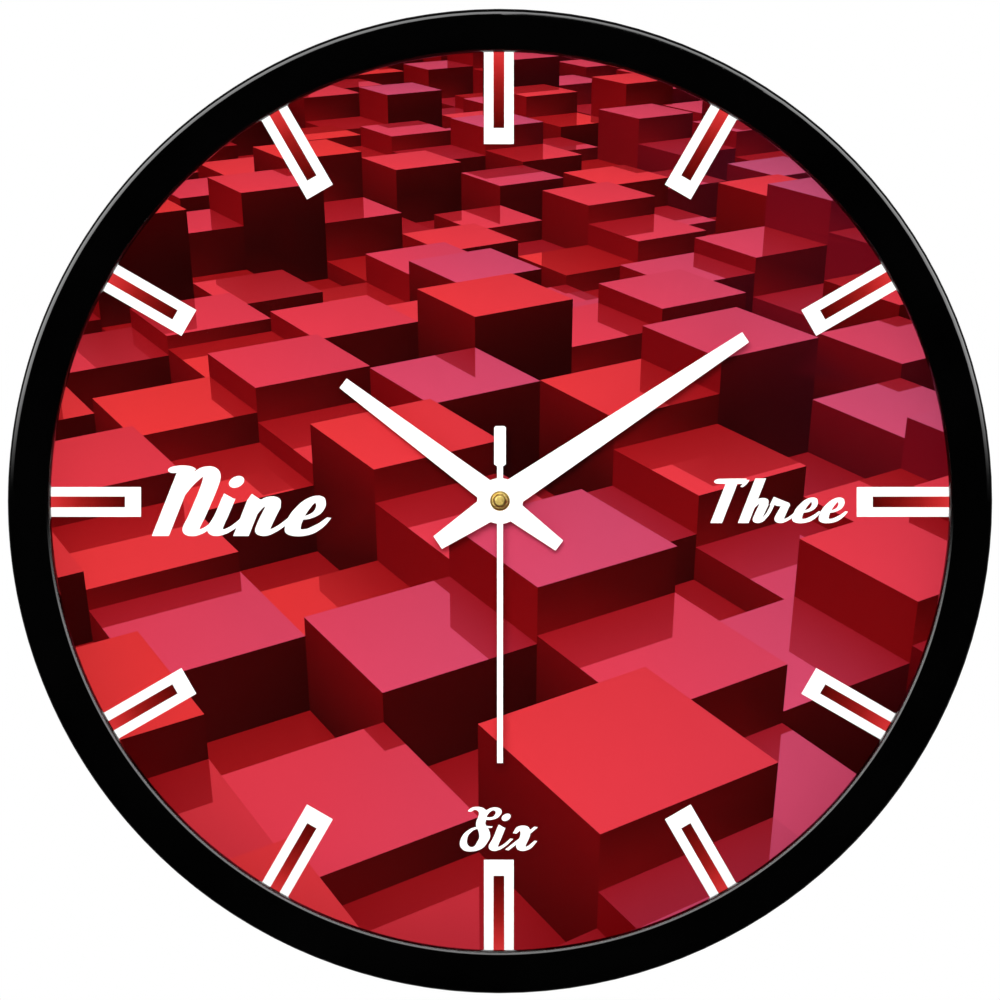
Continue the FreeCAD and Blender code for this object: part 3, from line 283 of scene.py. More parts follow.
def lip_direction(look):
    """The rim's own direction, but smooth on the lip: flat on its front face, and turned
    towards the hands' axis over its inner round, by how far in a point lies."""
    axes = look.axes()
    radius = look.radius()
    share = look.spread(radius, 1.0, 0.0, LIP_RADIUS, LIP_RADIUS + LIP_ROUND)
    inward = look.math("DIVIDE", share, look.math("MULTIPLY", radius, -1.0))
    forward = look.math("SQRT", look.math("SUBTRACT", 1.0, look.math("MULTIPLY", share, share)))
    turned = look.node("ShaderNodeCombineXYZ")
    look.link(look.math("MULTIPLY", inward, axes["X"]), turned.inputs["X"])
    look.link(look.math("MULTIPLY", forward, -1.0), turned.inputs["Y"])
    look.link(look.math("MULTIPLY", inward, axes["Z"]), turned.inputs["Z"])
    front = look.math("LESS_THAN", axes["Y"], RIM_FRONT + LIP_ROUND)
    near = look.math("LESS_THAN", radius, LIP_RADIUS + LIP_FLAT)
    mix = look.node("ShaderNodeMix", data_type="VECTOR")
    look.link(look.math("MULTIPLY", front, near), mix.inputs["Factor"])
    look.link(look.node("ShaderNodeNewGeometry").outputs["Normal"], mix.inputs[4])
    look.link(turned.outputs[0], mix.inputs[5])
    return mix.outputs[1]


def rim_look():
    """Black plastic: polished round the front, satin on the walls behind it. Its colour is painted shade,
    pure black, on the front, and painted light, a lighter grey, on the walls behind.
    """
    look = Look("rim_gloss_black")
    ends = (RIM_FRONT + POLISH_AND_PAINTED_SHADE_END, RIM_FRONT + SATIN_AND_PAINTED_LIGHT_START)
    behind = look.spread(look.axes()["Y"], 0.0, 1.0, *ends)
    drift = look.math("MULTIPLY", look.noise(25), 0.25)
    share = look.math("ADD", look.math("MULTIPLY", behind, 0.75), drift)
    # painted shade and painted light: the one black plastic is pure black on the front and a lighter grey on
    # the walls behind
    tones = [(0.05, paint(0, 0, 0)), (0.25, paint(3, 3, 3)), (0.95, paint(22, 22, 23))]
    look.link(look.ramp(share, tones), look.shader.inputs["Base Color"])
    satin = look.math("MULTIPLY", behind, 0.26)
    rough = look.math("ADD", look.spread(look.noise(60), 0.07, 0.12), satin)
    look.link(rough, look.shader.inputs["Roughness"])
    look.set(Specular_IOR_Level=0.42)
    haze = look.bump(look.noise(45, detail=2), 0.02, 0.05 * MM)
    look.link(lip_direction(look), haze.inputs["Normal"])
    return look


def glass_look():
    """A thin clear pane: straight through, with a gloss that grows to the edge-on view and a
    few faint smears. Light isn't bent, so the gloss is the same on both faces of the pane."""
    look = Look("lens_clear_glass")
    clear = look.node("ShaderNodeBsdfTransparent")
    clear.inputs["Color"].default_value = (0.985, 0.992, 0.988, 1.0)
    gloss = look.node("ShaderNodeBsdfGlossy")
    gloss.inputs["Color"].default_value = (1.0, 1.0, 1.0, 1.0)
    look.link(look.spread(look.noise(30), 0.01, 0.05), gloss.inputs["Roughness"])
    slant = look.node("ShaderNodeLayerWeight")
    slant.inputs["Blend"].default_value = 0.5
    growth = look.math("MULTIPLY", look.math("POWER", slant.outputs["Facing"], 5), 1 - GLASS_GLOSS)
    mix = look.node("ShaderNodeMixShader")
    look.link(look.math("ADD", growth, GLASS_GLOSS), mix.inputs["Fac"])
    look.link(clear.outputs[0], mix.inputs[1])
    look.link(gloss.outputs[0], mix.inputs[2])
    look.link(mix.outputs[0], look.out.inputs["Surface"])
    look.tree.nodes.remove(look.shader)
    return look


def hand_look():
    """White enamel on thin sheet: almost flat, with a slight orange peel."""
    look = Look("hand_white_enamel")
    look.mottled(paint(250, 250, 250), paint(255, 255, 255), 90)
    look.worn(0.3, 0.42, 120)
    look.bump(look.noise(900, detail=2), 0.08, 0.02 * MM)
    return look


def battery_sleeve_look():
    """A plain sleeve of one slate grey, shrunk on, with faint ripples along its length."""
    look = Look("battery_plain_sleeve")
    look.mottled(paint(62, 68, 80), paint(74, 80, 92), 160)
    look.worn(0.18, 0.3, 300)
    look.bump(look.noise(500, stretch=(1, 6, 6)), 0.1, 0.02 * MM)
    return look


def board_look():
    """Green solder mask with a darker net of tracks."""
    look = Look("board_solder_mask")
    tracks = look.node("ShaderNodeTexVoronoi", feature="DISTANCE_TO_EDGE")
    tracks.inputs["Scale"].default_value = 420
    look.link(look.place, tracks.inputs["Vector"])
    tones = [(0.04, paint(58, 120, 60)), (0.12, paint(20, 72, 38))]
    look.link(look.ramp(tracks.outputs["Distance"], tones), look.shader.inputs["Base Color"])
    look.worn(0.3, 0.45, 200)
    look.bump(tracks.outputs["Distance"], 0.2, 0.02 * MM)
    return look


# the width of one turn of the winding
WIRE = 0.16 * MM


def winding_look():
    """Enamelled copper wire, turn beside turn along the bobbin."""
    look = Look("winding_copper_wire")
    look.set(Metallic=1.0)
    look.mottled(paint(150, 78, 40), paint(196, 112, 60), 500)
    look.worn(0.25, 0.4, 400)
    turns = look.math("MULTIPLY", look.axes()["X"], 2 * math.pi / WIRE)
    look.bump(look.math("SINE", turns), 0.6, 0.03 * MM)
    return look


def card_look():
    """The artwork's ink, whose colour each corner of the plate carries."""
    look = Look("printed_dial")
    ink = look.node("ShaderNodeVertexColor", layer_name="ink")
    look.link(ink.outputs["Color"], look.shader.inputs["Base Color"])
    look.worn(0.42, 0.52, 80)
    look.set(Specular_IOR_Level=PRINT_SHEEN)
    look.bump(look.noise(2600, detail=2), 0.06, 0.01 * MM)
    return look


def white_ink_look():
    """The thick white ink of the hour marks and words."""
    look = Look("white_ink")
    look.mottled(paint(251, 251, 251), paint(255, 255, 255), 400)
    look.worn(0.45, 0.55, 200)
    look.set(Specular_IOR_Level=0.25)
    look.bump(look.noise(2600, detail=2), 0.08, 0.01 * MM)
    return look


# how far out along the slot, then the red there
SLOT_REDS = (
    (0.0, 84, 3, 0),
    (0.35, 126, 14, 12),
    (0.62, 160, 26, 24),
    (0.88, 206, 44, 44),
    (1.0, 222, 54, 56),
)


def slot_ink_look():
    """The red of the hour marks' slots: dark at the inner end, bright under the rim."""
    look = Look("slot_ink")
    share = look.spread(look.radius(), 0.0, 1.0, SLOT_START, LIP_RADIUS)
    tones = [(place, paint(*red) * PRINT_LEVEL) for place, *red in SLOT_REDS]
    look.link(look.ramp(share, tones), look.shader.inputs["Base Color"])
    look.worn(0.42, 0.52, 200)
    look.set(Specular_IOR_Level=PRINT_SHEEN)
    look.bump(look.noise(2600, detail=2), 0.06, 0.01 * MM)
    return look


# the dark and the light tone of each plain material
BLACK = (paint(12, 12, 13), paint(21, 21, 22))
TEXTURED = (paint(16, 16, 17), paint(27, 27, 29))
KNOB_BLACK = (paint(20, 20, 21), paint(34, 34, 36))
FOAM = (paint(14, 14, 14), paint(28, 28, 28))
RUBBER = (paint(16, 16, 16), paint(30, 30, 30))
RESIN = (paint(6, 6, 6), paint(14, 14, 14))
ACETAL = (paint(222, 220, 210), paint(236, 235, 228))
ZINC = (paint(150, 152, 156), paint(196, 198, 200))
SHEET_ZINC = (paint(138, 140, 144), paint(190, 192, 194))
DRAWN_CAN = (paint(180, 180, 184), paint(214, 214, 216))
NICKEL = (paint(172, 172, 170), paint(212, 212, 208))
WARM_NICKEL = (paint(168, 166, 160), paint(208, 206, 198))
IRON = (paint(116, 116, 118), paint(152, 152, 154))
FERRITE = (paint(58, 58, 60), paint(84, 84, 86))
BRASS = (paint(178, 140, 70), paint(212, 176, 98))
PALE_BRASS = (paint(178, 146, 84), paint(214, 186, 120))
BRIGHT_BRASS = (paint(196, 160, 78), paint(232, 204, 120))


def all_looks():
    """One material for each of the record's slots."""
    return {
        "rim": rim_look(),
        "lens": glass_look(),
        "seal": moulded("seal_foam", *FOAM, (0.8, 0.95), 900, 0.08),
        "spacer": moulded("spacer_black", *BLACK, (0.5, 0.7)),
        "dial": card_look(),
        "back_case": moulded("back_case_black", *BLACK, (0.4, 0.55), 1300, 0.03),
        "screw": metal("screw_zinc", *ZINC, (0.22, 0.36)),
        "hanger": metal("hanger_zinc", *SHEET_ZINC, (0.28, 0.45), (1, 1, 14), 220),
        "rubber_washer": moulded("rubber_washer", *RUBBER, (0.7, 0.85), 700, 0.05),
        "movement_case": moulded("movement_black", *TEXTURED, (0.42, 0.58), 1100, 0.04),
        "middle_plate": moulded("middle_plate_acetal", *ACETAL, (0.4, 0.5), 900),
        "brass_fitting": turned("brass_fitting", *BRASS),
        "soft_iron": metal("soft_iron", *IRON, (0.35, 0.5), (8, 1, 1)),
        "bobbin": moulded("bobbin_nylon", *ACETAL, (0.35, 0.45), 900),
        "winding": winding_look(),
        "board": board_look(),
        "resin": moulded("resin_black", *RESIN, (0.12, 0.22), 300),
        "crystal_can": metal("crystal_can", *DRAWN_CAN, (0.2, 0.3), (1, 1, 0.1)),
        "contact": metal("contact_nickel", *WARM_NICKEL, (0.18, 0.3), (1, 6, 1)),
        "battery_steel": metal("battery_nickel", *NICKEL, (0.16, 0.28), (1, 8, 8)),
        "battery_sleeve": battery_sleeve_look(),
        "wheel_plastic": moulded("wheel_acetal", *ACETAL, (0.35, 0.45), 900),
        "magnet": metal("magnet_ferrite", *FERRITE, (0.5, 0.7)),
        "knob": moulded("knob_black", *KNOB_BLACK, (0.4, 0.55), 1400, 0.03),
        "hand": hand_look(),
        "hand_bush": turned("hand_bush_brass", *PALE_BRASS),
        "cap_brass": turned("cap_brass", *BRIGHT_BRASS, (0.3, 0.42), 0.2 * MM, 0.006),
    }


def dress_nodes(looks):
    """Gives every CAD node the material of its slot in the record."""
    for part in frame["record"]["subparts"]:
        node = frame["nodes"][part["node"]]
        for slot in node.material_slots:
            slot.material = looks[part["material_slot"]].material


# ---------------------------------------------------------------- planar drawings


def signed_area(points):
    """A polygon's area, below zero where it runs clockwise."""
    total = 0.0
    for index, (x, y) in enumerate(points):
        next_x, next_y = points[(index + 1) % len(points)]
        total += x * next_y - next_x * y
    return total / 2


def anticlockwise(points):
    if signed_area(points) < 0:
        return list(reversed(points))
    return list(points)


def arrange(polygons):
    """Cuts overlapping flat convex polygons where they cross.

    Returns the corners in metres, the triangles, and the last polygon over each triangle, or -1.
    """
    corners = []
    faces = []
    for points in polygons:
        first = len(corners)
        corners.extend(Vector(point) / MM for point in anticlockwise(points))
        faces.append(list(range(first, first + len(points))))
    made = delaunay_2d_cdt(corners, [], faces, 0, JOIN / MM, False)
    places = np.array([tuple(corner) for corner in made[0]]) * MM
    triangles = [face for face in made[2] if len(face) == 3]
    middles = places[np.array(triangles)].mean(axis=1)
    owners = np.full(len(triangles), -1)
    for number, points in enumerate(polygons):
        owners[covered(middles, anticlockwise(points))] = number
    return places.tolist(), triangles, owners.tolist()


def covered(spots, points):
    """Which spots lie inside a convex polygon."""
    inside = np.ones(len(spots), bool)
    for index, (x, y) in enumerate(points):
        next_x, next_y = points[(index + 1) % len(points)]
        inside &= (next_x - x) * (spots[:, 1] - y) >= (next_y - y) * (spots[:, 0] - x)
    return inside


def flat_piece(corners, faces, back, front, inks=None):
    """A plate between two depths, whose front is the faces drawn in the dial's plane.

    Where inks are given, they hold the colour of each corner of each face.
    """
    plate = bmesh.new()
    layer = plate.loops.layers.float_color.new("ink") if inks else None
    points = [plate.verts.new((x, front, z)) for x, z in corners]
    for number, face in enumerate(faces):
        made = plate.faces.new([points[index] for index in face])
        if layer is None:
            continue
        for loop, colour in zip(made.loops, inks[number]):
            loop[layer] = rgba(colour)
    bmesh.ops.dissolve_degenerate(plate, dist=2 * JOIN, edges=plate.edges[:])
    loose = [point for point in plate.verts if not point.link_faces]
    bmesh.ops.delete(plate, geom=loose, context="VERTS")
    raised = bmesh.ops.extrude_face_region(plate, geom=plate.faces[:], use_keep_orig=True)
    moved = [item for item in raised["geom"] if isinstance(item, bmesh.types.BMVert)]
    bmesh.ops.translate(plate, verts=moved, vec=(0, back - front, 0))
    bmesh.ops.recalc_face_normals(plate, faces=plate.faces[:])
    return plate


def ring_points(radius, count, centre=(0.0, 0.0)):
    turn = 2 * math.pi / count
    return [
        (centre[0] + radius * math.cos(turn * step), centre[1] + radius * math.sin(turn * step))
        for step in range(count)
    ]


# ---------------------------------------------------------------- the printed blocks
# The dial's picture is a field of square blocks of many heights, seen in perspective from
# above. One unit is the height of the eye above a typical block's top.

# a block's width, the eye's height, how steeply the eye looks down, the metres on the dial for
# a slope of one in its view, and how far the grid is turned in it
CELL = 0.24
EYE_HEIGHT = 1.0
PITCH = math.radians(24.2)
ZOOM = 3.22 * LIP_RADIUS
TURN = math.radians(58)
ALONG = Vector((math.sin(TURN), math.cos(TURN)))
ACROSS = Vector((-math.cos(TURN), math.sin(TURN)))

# the nearest and the farthest row, and the field's half width for each unit of distance
NEAREST = 0.75
FARTHEST = 10.5
SPREAD = 0.42

# the random heights, in cells: every block's step, how often some rise or sink further and how
# far, and where up the dial the rises begin
SEED = 31
STEP = 0.4
RISE_FROM = 0.05
RISE_CHANCE = 0.22
RISE = (0.2, 0.6)
PIT_CHANCE = 0.16
PIT = (0.25, 0.65)

# how far neighbours' heights keep apart and the tries to get there, how many blocks a top
# mirrors, the smallest step that shows in it, and the smallest reflection that is drawn
APART = 0.12 * CELL
TRIES = 12
GLOSS_REACH = 3
FLUSH = 0.02 * CELL
SMALLEST = 0.35 * MM

# sides of the rings that cut the plate's edge and its hole
EDGE_SIDES = 256
HOLE_SIDES = 48


def ground(i, j):
    return CELL * (i * ALONG + j * ACROSS)


def project(right, forward, height):
    """Where a point of the field shows on the dial."""
    drop = height - EYE_HEIGHT
    away = forward * math.cos(PITCH) - drop * math.sin(PITCH)
    rise = forward * math.sin(PITCH) + drop * math.cos(PITCH)
    return (ZOOM * right / away, ZOOM * rise / away)


def sight(point):
    """The line of sight through a point of the dial, as right, forward and up."""
    x, z = point
    return Vector((
        x,
        ZOOM * math.cos(PITCH) + z * math.sin(PITCH),
        z * math.cos(PITCH) - ZOOM * math.sin(PITCH),
    ))


def block_height(i, j, chance):
    """A block's height in cells: gentle steps, with a few pits, and rises higher up the dial."""
    centre = ground(i + 0.5, j + 0.5)
    far = project(centre.x, centre.y, 0.0)[1] / LIP_RADIUS
    height = chance.uniform(-STEP, STEP)
    if far > RISE_FROM and chance.random() < RISE_CHANCE:
        height += chance.uniform(*RISE)
    if chance.random() < PIT_CHANCE:
        height -= chance.uniform(*PIT)
    return height


def fitting_height(heights, i, j, chance):
    """A height that stands clear of the blocks already laid beside this one."""
    beside = [heights[place] for place in ((i - 1, j), (i, j - 1)) if place in heights]
    for attempt in range(TRIES):
        height = CELL * block_height(i, j, chance)
        if all(abs(height - other) > APART for other in beside):
            break
    return height


def lay_blocks():
    """The heights of all the blocks that may show, by their place in the grid."""
    chance = random.Random(SEED)
    heights = {}
    tones = {}
    reach = int(FARTHEST / CELL) + 2
    for i in range(-reach // 3, reach):
        for j in range(-reach // 3, reach):
            centre = ground(i + 0.5, j + 0.5)
            if not NEAREST < centre.y < FARTHEST:
                continue
            if abs(centre.x) > SPREAD * centre.y + 2 * CELL:
                continue
            heights[i, j] = fitting_height(heights, i, j, chance)
            tones[i, j] = chance.uniform(-1, 1)
    return heights, tones


def clip(points, window):
    """The part of a convex polygon inside another, both anticlockwise."""
    kept = list(points)
    for index, start in enumerate(window):
        end = window[(index + 1) % len(window)]
        edge = (end[0] - start[0], end[1] - start[1])
        source = kept
        kept = []
        for place, point in enumerate(source):
            before = source[place - 1]
            now = edge[0] * (point[1] - start[1]) - edge[1] * (point[0] - start[0])
            then = edge[0] * (before[1] - start[1]) - edge[1] * (before[0] - start[0])
            if (now >= 0) != (then >= 0):
                share = then / (then - now)
                kept.append((
                    before[0] + share * (point[0] - before[0]),
                    before[1] + share * (point[1] - before[1]),
                ))
            if now >= 0:
                kept.append(point)
        if len(kept) < 3:
            return []
    return kept


def outline(flat, levels):
    """An upright quad over two places on the ground, between two heights."""
    (start, end), (high, low) = flat, levels
    quad = [
        project(start.x, start.y, high),
        project(start.x, start.y, low),
        project(end.x, end.y, low),
        project(end.x, end.y, high),
    ]
    return anticlockwise(quad)


@dataclass
class Patch:
    """One visible facet of the field: its outline on the dial, the grid line that it stands on,
    the heights of its top and foot, its block's tone, and the block that it lies beside."""

    points: list
    kind: str
    i: int
    j: int
    height: float
    foot: float
    tone: float
    cell: tuple

    def place(self, point):
        """The spot of the facet that shows at a point of the dial, in cells along, across and up."""
        ray = sight(point)
        if self.kind == "top":
            reach = (self.height - EYE_HEIGHT) / ray.z
        elif self.kind in ("left", "left_mirror"):
            reach = self.i * CELL / Vector((ray.x, ray.y)).dot(ALONG)
        else:
            reach = self.j * CELL / Vector((ray.x, ray.y)).dot(ACROSS)
        spot = ray * reach
        flat = Vector((spot.x, spot.y))
        up = (spot.z + EYE_HEIGHT) / CELL
        return flat.dot(ALONG) / CELL, flat.dot(ACROSS) / CELL, up


# inks of the tops, from left to right, high up on the right, and in shade, then of the walls
RED = paint(225, 52, 54)
CRIMSON = paint(217, 56, 74)
ROSE = paint(204, 70, 104)
DUSK = paint(184, 76, 112)
DEEP = paint(188, 12, 20)
WALL_LIGHT = paint(130, 6, 10)
WALL_MID = paint(104, 0, 4)
WALL_DARK = paint(76, 0, 1)
WALL_BLACK = paint(36, 0, 0)
WALL_DUSK = paint(96, 14, 40)


def dusk_share(patch, slope, edge):
    """How much the haze of the upper right tints a facet, whose block's own tone weakens it."""
    return smooth((slope - edge) / 0.8) * clamp(0.4 + 0.6 * patch.tone)


def top_tone(patch, side, far):
    """The colour of a block's top before any reflection, by its place on the dial."""
    share = clamp(0.5 + 0.42 * side + 0.5 * patch.tone - 0.16 * far)
    if share < 0.5:
        colour = RED.lerp(CRIMSON, share * 2)
    else:
        colour = CRIMSON.lerp(ROSE, share * 2 - 1)
    return colour.lerp(DUSK, dusk_share(patch, 0.8 * far + 0.5 * side, 0.2))


def gloss_colour(patch, side, far, spot, sunk):
    """A top, or a wall's darker reflection in it, with the light falling off over the top."""
    along, across, up = spot
    colour = top_tone(patch, side, far).lerp(DEEP, clamp(0.6 * sunk))
    if patch.kind != "top":
        near = clamp(1.0 - (patch.height / CELL - up) / 0.9)
        colour = colour.lerp(DEEP, 0.25 + 0.6 * near) * (0.92 - 0.3 * near)
    shade = 1.0 - 0.1 * (along - patch.cell[0]) + 0.06 * (patch.cell[1] + 1 - across)
    return colour * shade * (1.0 - 0.3 * sunk)


def left_wall(patch, across, down):
    """The lit wall, brighter down and towards its near end, and how dark it is far down."""
    share = clamp(0.2 + 0.4 * down + 0.35 * (patch.j + 1 - across))
    return WALL_MID.lerp(WALL_LIGHT, share), 0.5 * smooth((down - 0.5) / 0.9)


def front_wall(patch, along, down, rise):
    """The shaded wall, darker down and to the right, with a glow at its foot."""
    share = clamp(0.2 + 0.75 * down + 0.3 * (along - patch.i))
    glow = clamp(1.0 - rise / 0.4) * clamp(1.1 - (along - patch.i))
    return WALL_DARK.lerp(WALL_BLACK, share).lerp(WALL_LIGHT, 0.55 * glow), 0.0


def patch_colour(patch, point, sunk):
    """The ink at one point of a facet, whose block, or the block at a wall's foot, is sunk."""
    side = point[0] / LIP_RADIUS
    far = point[1] / LIP_RADIUS
    along, across, up = patch.place(point)
    if patch.kind == "top" or patch.kind.endswith("mirror"):
        return gloss_colour(patch, side, far, (along, across, up), sunk)
    down = patch.height / CELL - up
    if patch.kind == "left":
        colour, dark = left_wall(patch, across, down)
    else:
        colour, dark = front_wall(patch, along, down, up - patch.foot / CELL)
    colour = colour.lerp(WALL_BLACK, max(dark, 0.85 * smooth(1.6 * sunk) * clamp(0.4 + down)))
    return colour.lerp(WALL_DUSK, 0.4 * dusk_share(patch, 0.5 * far + 0.8 * side, 0.3))


def mirrored(heights, i, j, top, tone):
    """The walls behind a block's top that show in its gloss, farthest first."""
    level = heights[i, j]
    reach = range(GLOSS_REACH)
    steps = sorted(((p, q) for p in reach for q in reach), key=lambda step: -sum(step))
    patches = []
    for p, q in steps[:-1]:
        beyond = heights.get((i + p, j + q))
        if beyond is None or beyond <= level + FLUSH:
            continue
        levels = (level, 2 * level - beyond)
        sides = []
        if p:
            edge = (ground(i + p, j + q), ground(i + p, j + q + 1))
            sides.append(("left_mirror", edge))
        if q:
            edge = (ground(i + p, j + q), ground(i + p + 1, j + q))
            sides.append(("front_mirror", edge))
        for kind, edge in sides:
            points = clip(outline(edge, levels), top)
            if len(points) > 2 and abs(signed_area(points)) > SMALLEST ** 2:
                patches.append(Patch(points, kind, i + p, j + q, level, level, tone, (i, j)))
    return patches


def shown(points):
    """Whether any of a facet may lie inside the dial."""
    xs = [x for x, z in points]
    zs = [z for x, z in points]
    near_x = max(min(xs), -max(xs), 0)
    near_z = max(min(zs), -max(zs), 0)
    return math.hypot(near_x, near_z) < DIAL_RADIUS


def block_patches(heights, tones, i, j):
    """A block's facets, in the order that they are painted."""
    level = heights[i, j]
    tone = tones[i, j]
    patches = []
    for kind, step, edge in (
        ("left", (i - 1, j), (ground(i, j), ground(i, j + 1))),
        ("front", (i, j - 1), (ground(i, j), ground(i + 1, j))),
    ):
        foot = heights.get(step, level)
        if foot < level:
            points = outline(edge, (level, foot))
            patches.append(Patch(points, kind, i, j, level, foot, tone, step))
    corners = (ground(i, j), ground(i + 1, j), ground(i + 1, j + 1), ground(i, j + 1))
    top = anticlockwise([project(corner.x, corner.y, level) for corner in corners])
    if shown(top):
        patches.append(Patch(top, "top", i, j, level, level, tone, (i, j)))
        patches.extend(mirrored(heights, i, j, top, tone))
    return [patch for patch in patches if shown(patch.points)]


def sunk_by(heights, i, j):
    """How deep a block lies below its neighbours' mean, in cells and at most 1."""
    around = [heights.get((i + p, j + q), 0.0) for p, q in ((1, 0), (-1, 0), (0, 1), (0, -1))]
    level = heights.get((i, j), 0.0)
    return clamp((sum(around) / len(around) - level) / CELL)


def make_dial(looks):
    """The printed card: one flat plate, cut into the facets that show, each with its own ink."""
    heights, tones = lay_blocks()
    patches = []
    for i, j in sorted(heights, key=lambda cell: (-sum(cell), cell)):
        patches.extend(block_patches(heights, tones, i, j))
    rings = [ring_points(DIAL_RADIUS, EDGE_SIDES), ring_points(HOLE_RADIUS, HOLE_SIDES)]
    corners, triangles, owners = arrange(rings + [patch.points for patch in patches])
    widest = DIAL_RADIUS * math.cos(math.pi / EDGE_SIDES)
    sunk = {cell: sunk_by(heights, *cell) for cell in heights}
    kept = []
    inks = []
    for triangle, owner in zip(triangles, owners):
        spots = [corners[index] for index in triangle]
        middle = [sum(axis) / 3 for axis in zip(*spots)]
        if not HOLE_RADIUS < math.hypot(*middle) < widest:
            continue
        patch = patches[max(owner - len(rings), 0)]
        kept.append(triangle)
        depth = sunk.get(patch.cell, 0.0)
        inks.append([patch_colour(patch, spot, depth) * PRINT_LEVEL for spot in spots])
    plate = flat_piece(corners, kept, DIAL_BACK, DIAL_FRONT, inks)
    dial = new_piece("dial_artwork", plate, looks["dial"].material)
    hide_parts("dial_print")
    return dial


# ---------------------------------------------------------------- hour marks


def turned_point(along, across, hour):
    """A point at a distance out along an hour's direction and to its side."""
    angle = math.radians(90 - 30 * hour)
    return (
        PRINT_SHIFT[0] + along * math.cos(angle) - across * math.sin(angle),
        PRINT_SHIFT[1] + along * math.sin(angle) + across * math.cos(angle),
    )


def make_marks():
    """Twelve open-ended white bars, and the red slot in each."""
    made = []
    half = MARK_WIDTH / 2
    slot = SLOT_WIDTH / 2
    bar = [
        (MARK_START, -half),
        (MARK_END, -half),
        (MARK_END, -slot),
        (SLOT_START, -slot),
        (SLOT_START, slot),
        (MARK_END, slot),
        (MARK_END, half),
        (MARK_START, half),
    ]
    filling = [(SLOT_START, -slot), (MARK_END, -slot), (MARK_END, slot), (SLOT_START, slot)]
    for name, shape, ink in (
        ("hour_marks", bar, white_ink_look()),
        ("hour_mark_slots", filling, slot_ink_look()),
    ):
        corners = []
        faces = []
        for hour in range(12):
            first = len(corners)
            corners.extend(turned_point(along, across, hour) for along, across in shape)
            faces.append(list(range(first, first + len(shape))))
        plate = flat_piece(corners, faces, DIAL_FRONT, DIAL_FRONT - INK)
        made.append(new_piece(name, plate, ink.material))
    return made


# ---------------------------------------------------------------- hour words
# Each letter is drawn by a broad nib along a few curves. The unit is the height of a capital,
# and the slant is added at the end. A point of a curve is its place and how hard the nib is
# pressed. Spurs are drawn with no nib: the cut corners, and the dot of the i.

SLANT = 0.4
NIB_ACROSS = 0.112
NIB_ALONG = 0.055
STEPS = 7
ROUND_SIDES = 24


def ring_around(centre, across, upright):
    return [(centre[0] + x * across, centre[1] + y * upright) for x, y in ring_points(1.0, ROUND_SIDES)]


N_CAPITAL = {
    "strokes": (
        ((-0.165, 0.945, 0.9), (-0.08, 0.955, 0.9), (0.02, 0.945, 0.85), (0.1, 0.92, 0.6)),
        ((0.0, 0.95, 1.1), (0.0, 0.5, 1.1), (0.0, 0.0, 1.1)),
        ((0.03, 0.48, 0.5), (0.12, 0.76, 0.75), (0.28, 0.94, 0.95), (0.41, 0.83, 1.12), (0.425, 0.5, 1.12)),
        ((0.425, 0.6, 1.12), (0.415, 0.3, 1.12), (0.4, 0.11, 1.1), (0.46, 0.045, 0.9), (0.57, 0.07, 0.6)),
        ((0.54, 0.05, 0.6), (0.64, 0.12, 0.45), (0.76, 0.26, 0.35)),
    ),
    "round_starts": (0,),
}
I_SMALL = {
    "strokes": (
        ((0.005, 0.53, 0.9), (0.0, 0.3, 0.9), (-0.02, 0.12, 1.0), (0.04, 0.045, 0.85), (0.15, 0.07, 0.6)),
        ((0.12, 0.05, 0.6), (0.24, 0.13, 0.45), (0.36, 0.28, 0.35)),
    ),
    "spurs": (
        ((-0.096, 0.52), (0.105, 0.52), (-0.087, 0.606)),
        ring_around((0.026, 0.77), 0.105, 0.085),
    ),
}
N_SMALL = {
    "strokes": (
        ((0.0, 0.52, 1.0), (0.0, 0.25, 1.0), (0.0, 0.0, 1.0)),
        ((0.03, 0.15, 0.35), (0.08, 0.37, 0.5), (0.17, 0.5, 0.8), (0.26, 0.5, 0.95), (0.3, 0.38, 1.0)),
        ((0.298, 0.42, 1.0), (0.275, 0.2, 1.0), (0.28, 0.08, 0.95), (0.34, 0.045, 0.8), (0.44, 0.08, 0.55)),
        ((0.41, 0.06, 0.55), (0.52, 0.14, 0.45), (0.64, 0.28, 0.35)),
    ),
    "spurs": (((-0.112, 0.51), (0.09, 0.51), (-0.084, 0.6)),),
}
E_SMALL = {
    "strokes": (
        ((0.06, 0.26, 0.5), (0.17, 0.27, 0.52), (0.27, 0.33, 0.56), (0.29, 0.43, 0.6), (0.24, 0.515, 0.68)),
        ((0.26, 0.505, 0.66), (0.18, 0.535, 0.72), (0.08, 0.465, 0.85), (0.005, 0.3, 1.0), (0.0, 0.13, 1.0)),
        ((0.0, 0.16, 1.0), (0.03, 0.075, 1.0), (0.14, 0.045, 0.9), (0.28, 0.07, 0.8), (0.39, 0.15, 0.6)),
        ((0.36, 0.12, 0.65), (0.42, 0.18, 0.5), (0.475, 0.26, 0.3)),
    ),
}
T_CAPITAL = {
    "strokes": (
        ((-0.31, 0.938, 1.0), (0.0, 0.938, 1.1), (0.3, 0.938, 1.1)),
        ((0.32, 0.97, 0.5), (0.305, 0.88, 0.42), (0.255, 0.81, 0.3)),
        ((0.0, 0.94, 1.2), (0.0, 0.5, 1.2), (0.0, 0.0, 1.2)),
    ),
    "round_starts": (0,),
}
H_SMALL = {
    "strokes": (
        ((0.0, 1.0, 1.1), (0.0, 0.5, 1.1), (0.0, 0.0, 1.1)),
        ((0.03, 0.1, 0.3), (0.08, 0.35, 0.45), (0.17, 0.5, 0.75), (0.27, 0.5, 0.9), (0.31, 0.38, 0.96)),
        ((0.308, 0.42, 0.96), (0.29, 0.2, 0.96), (0.29, 0.08, 0.92), (0.34, 0.045, 0.8), (0.43, 0.08, 0.5)),
        ((0.4, 0.06, 0.5), (0.48, 0.2, 0.4), (0.51, 0.4, 0.4)),
    ),
}
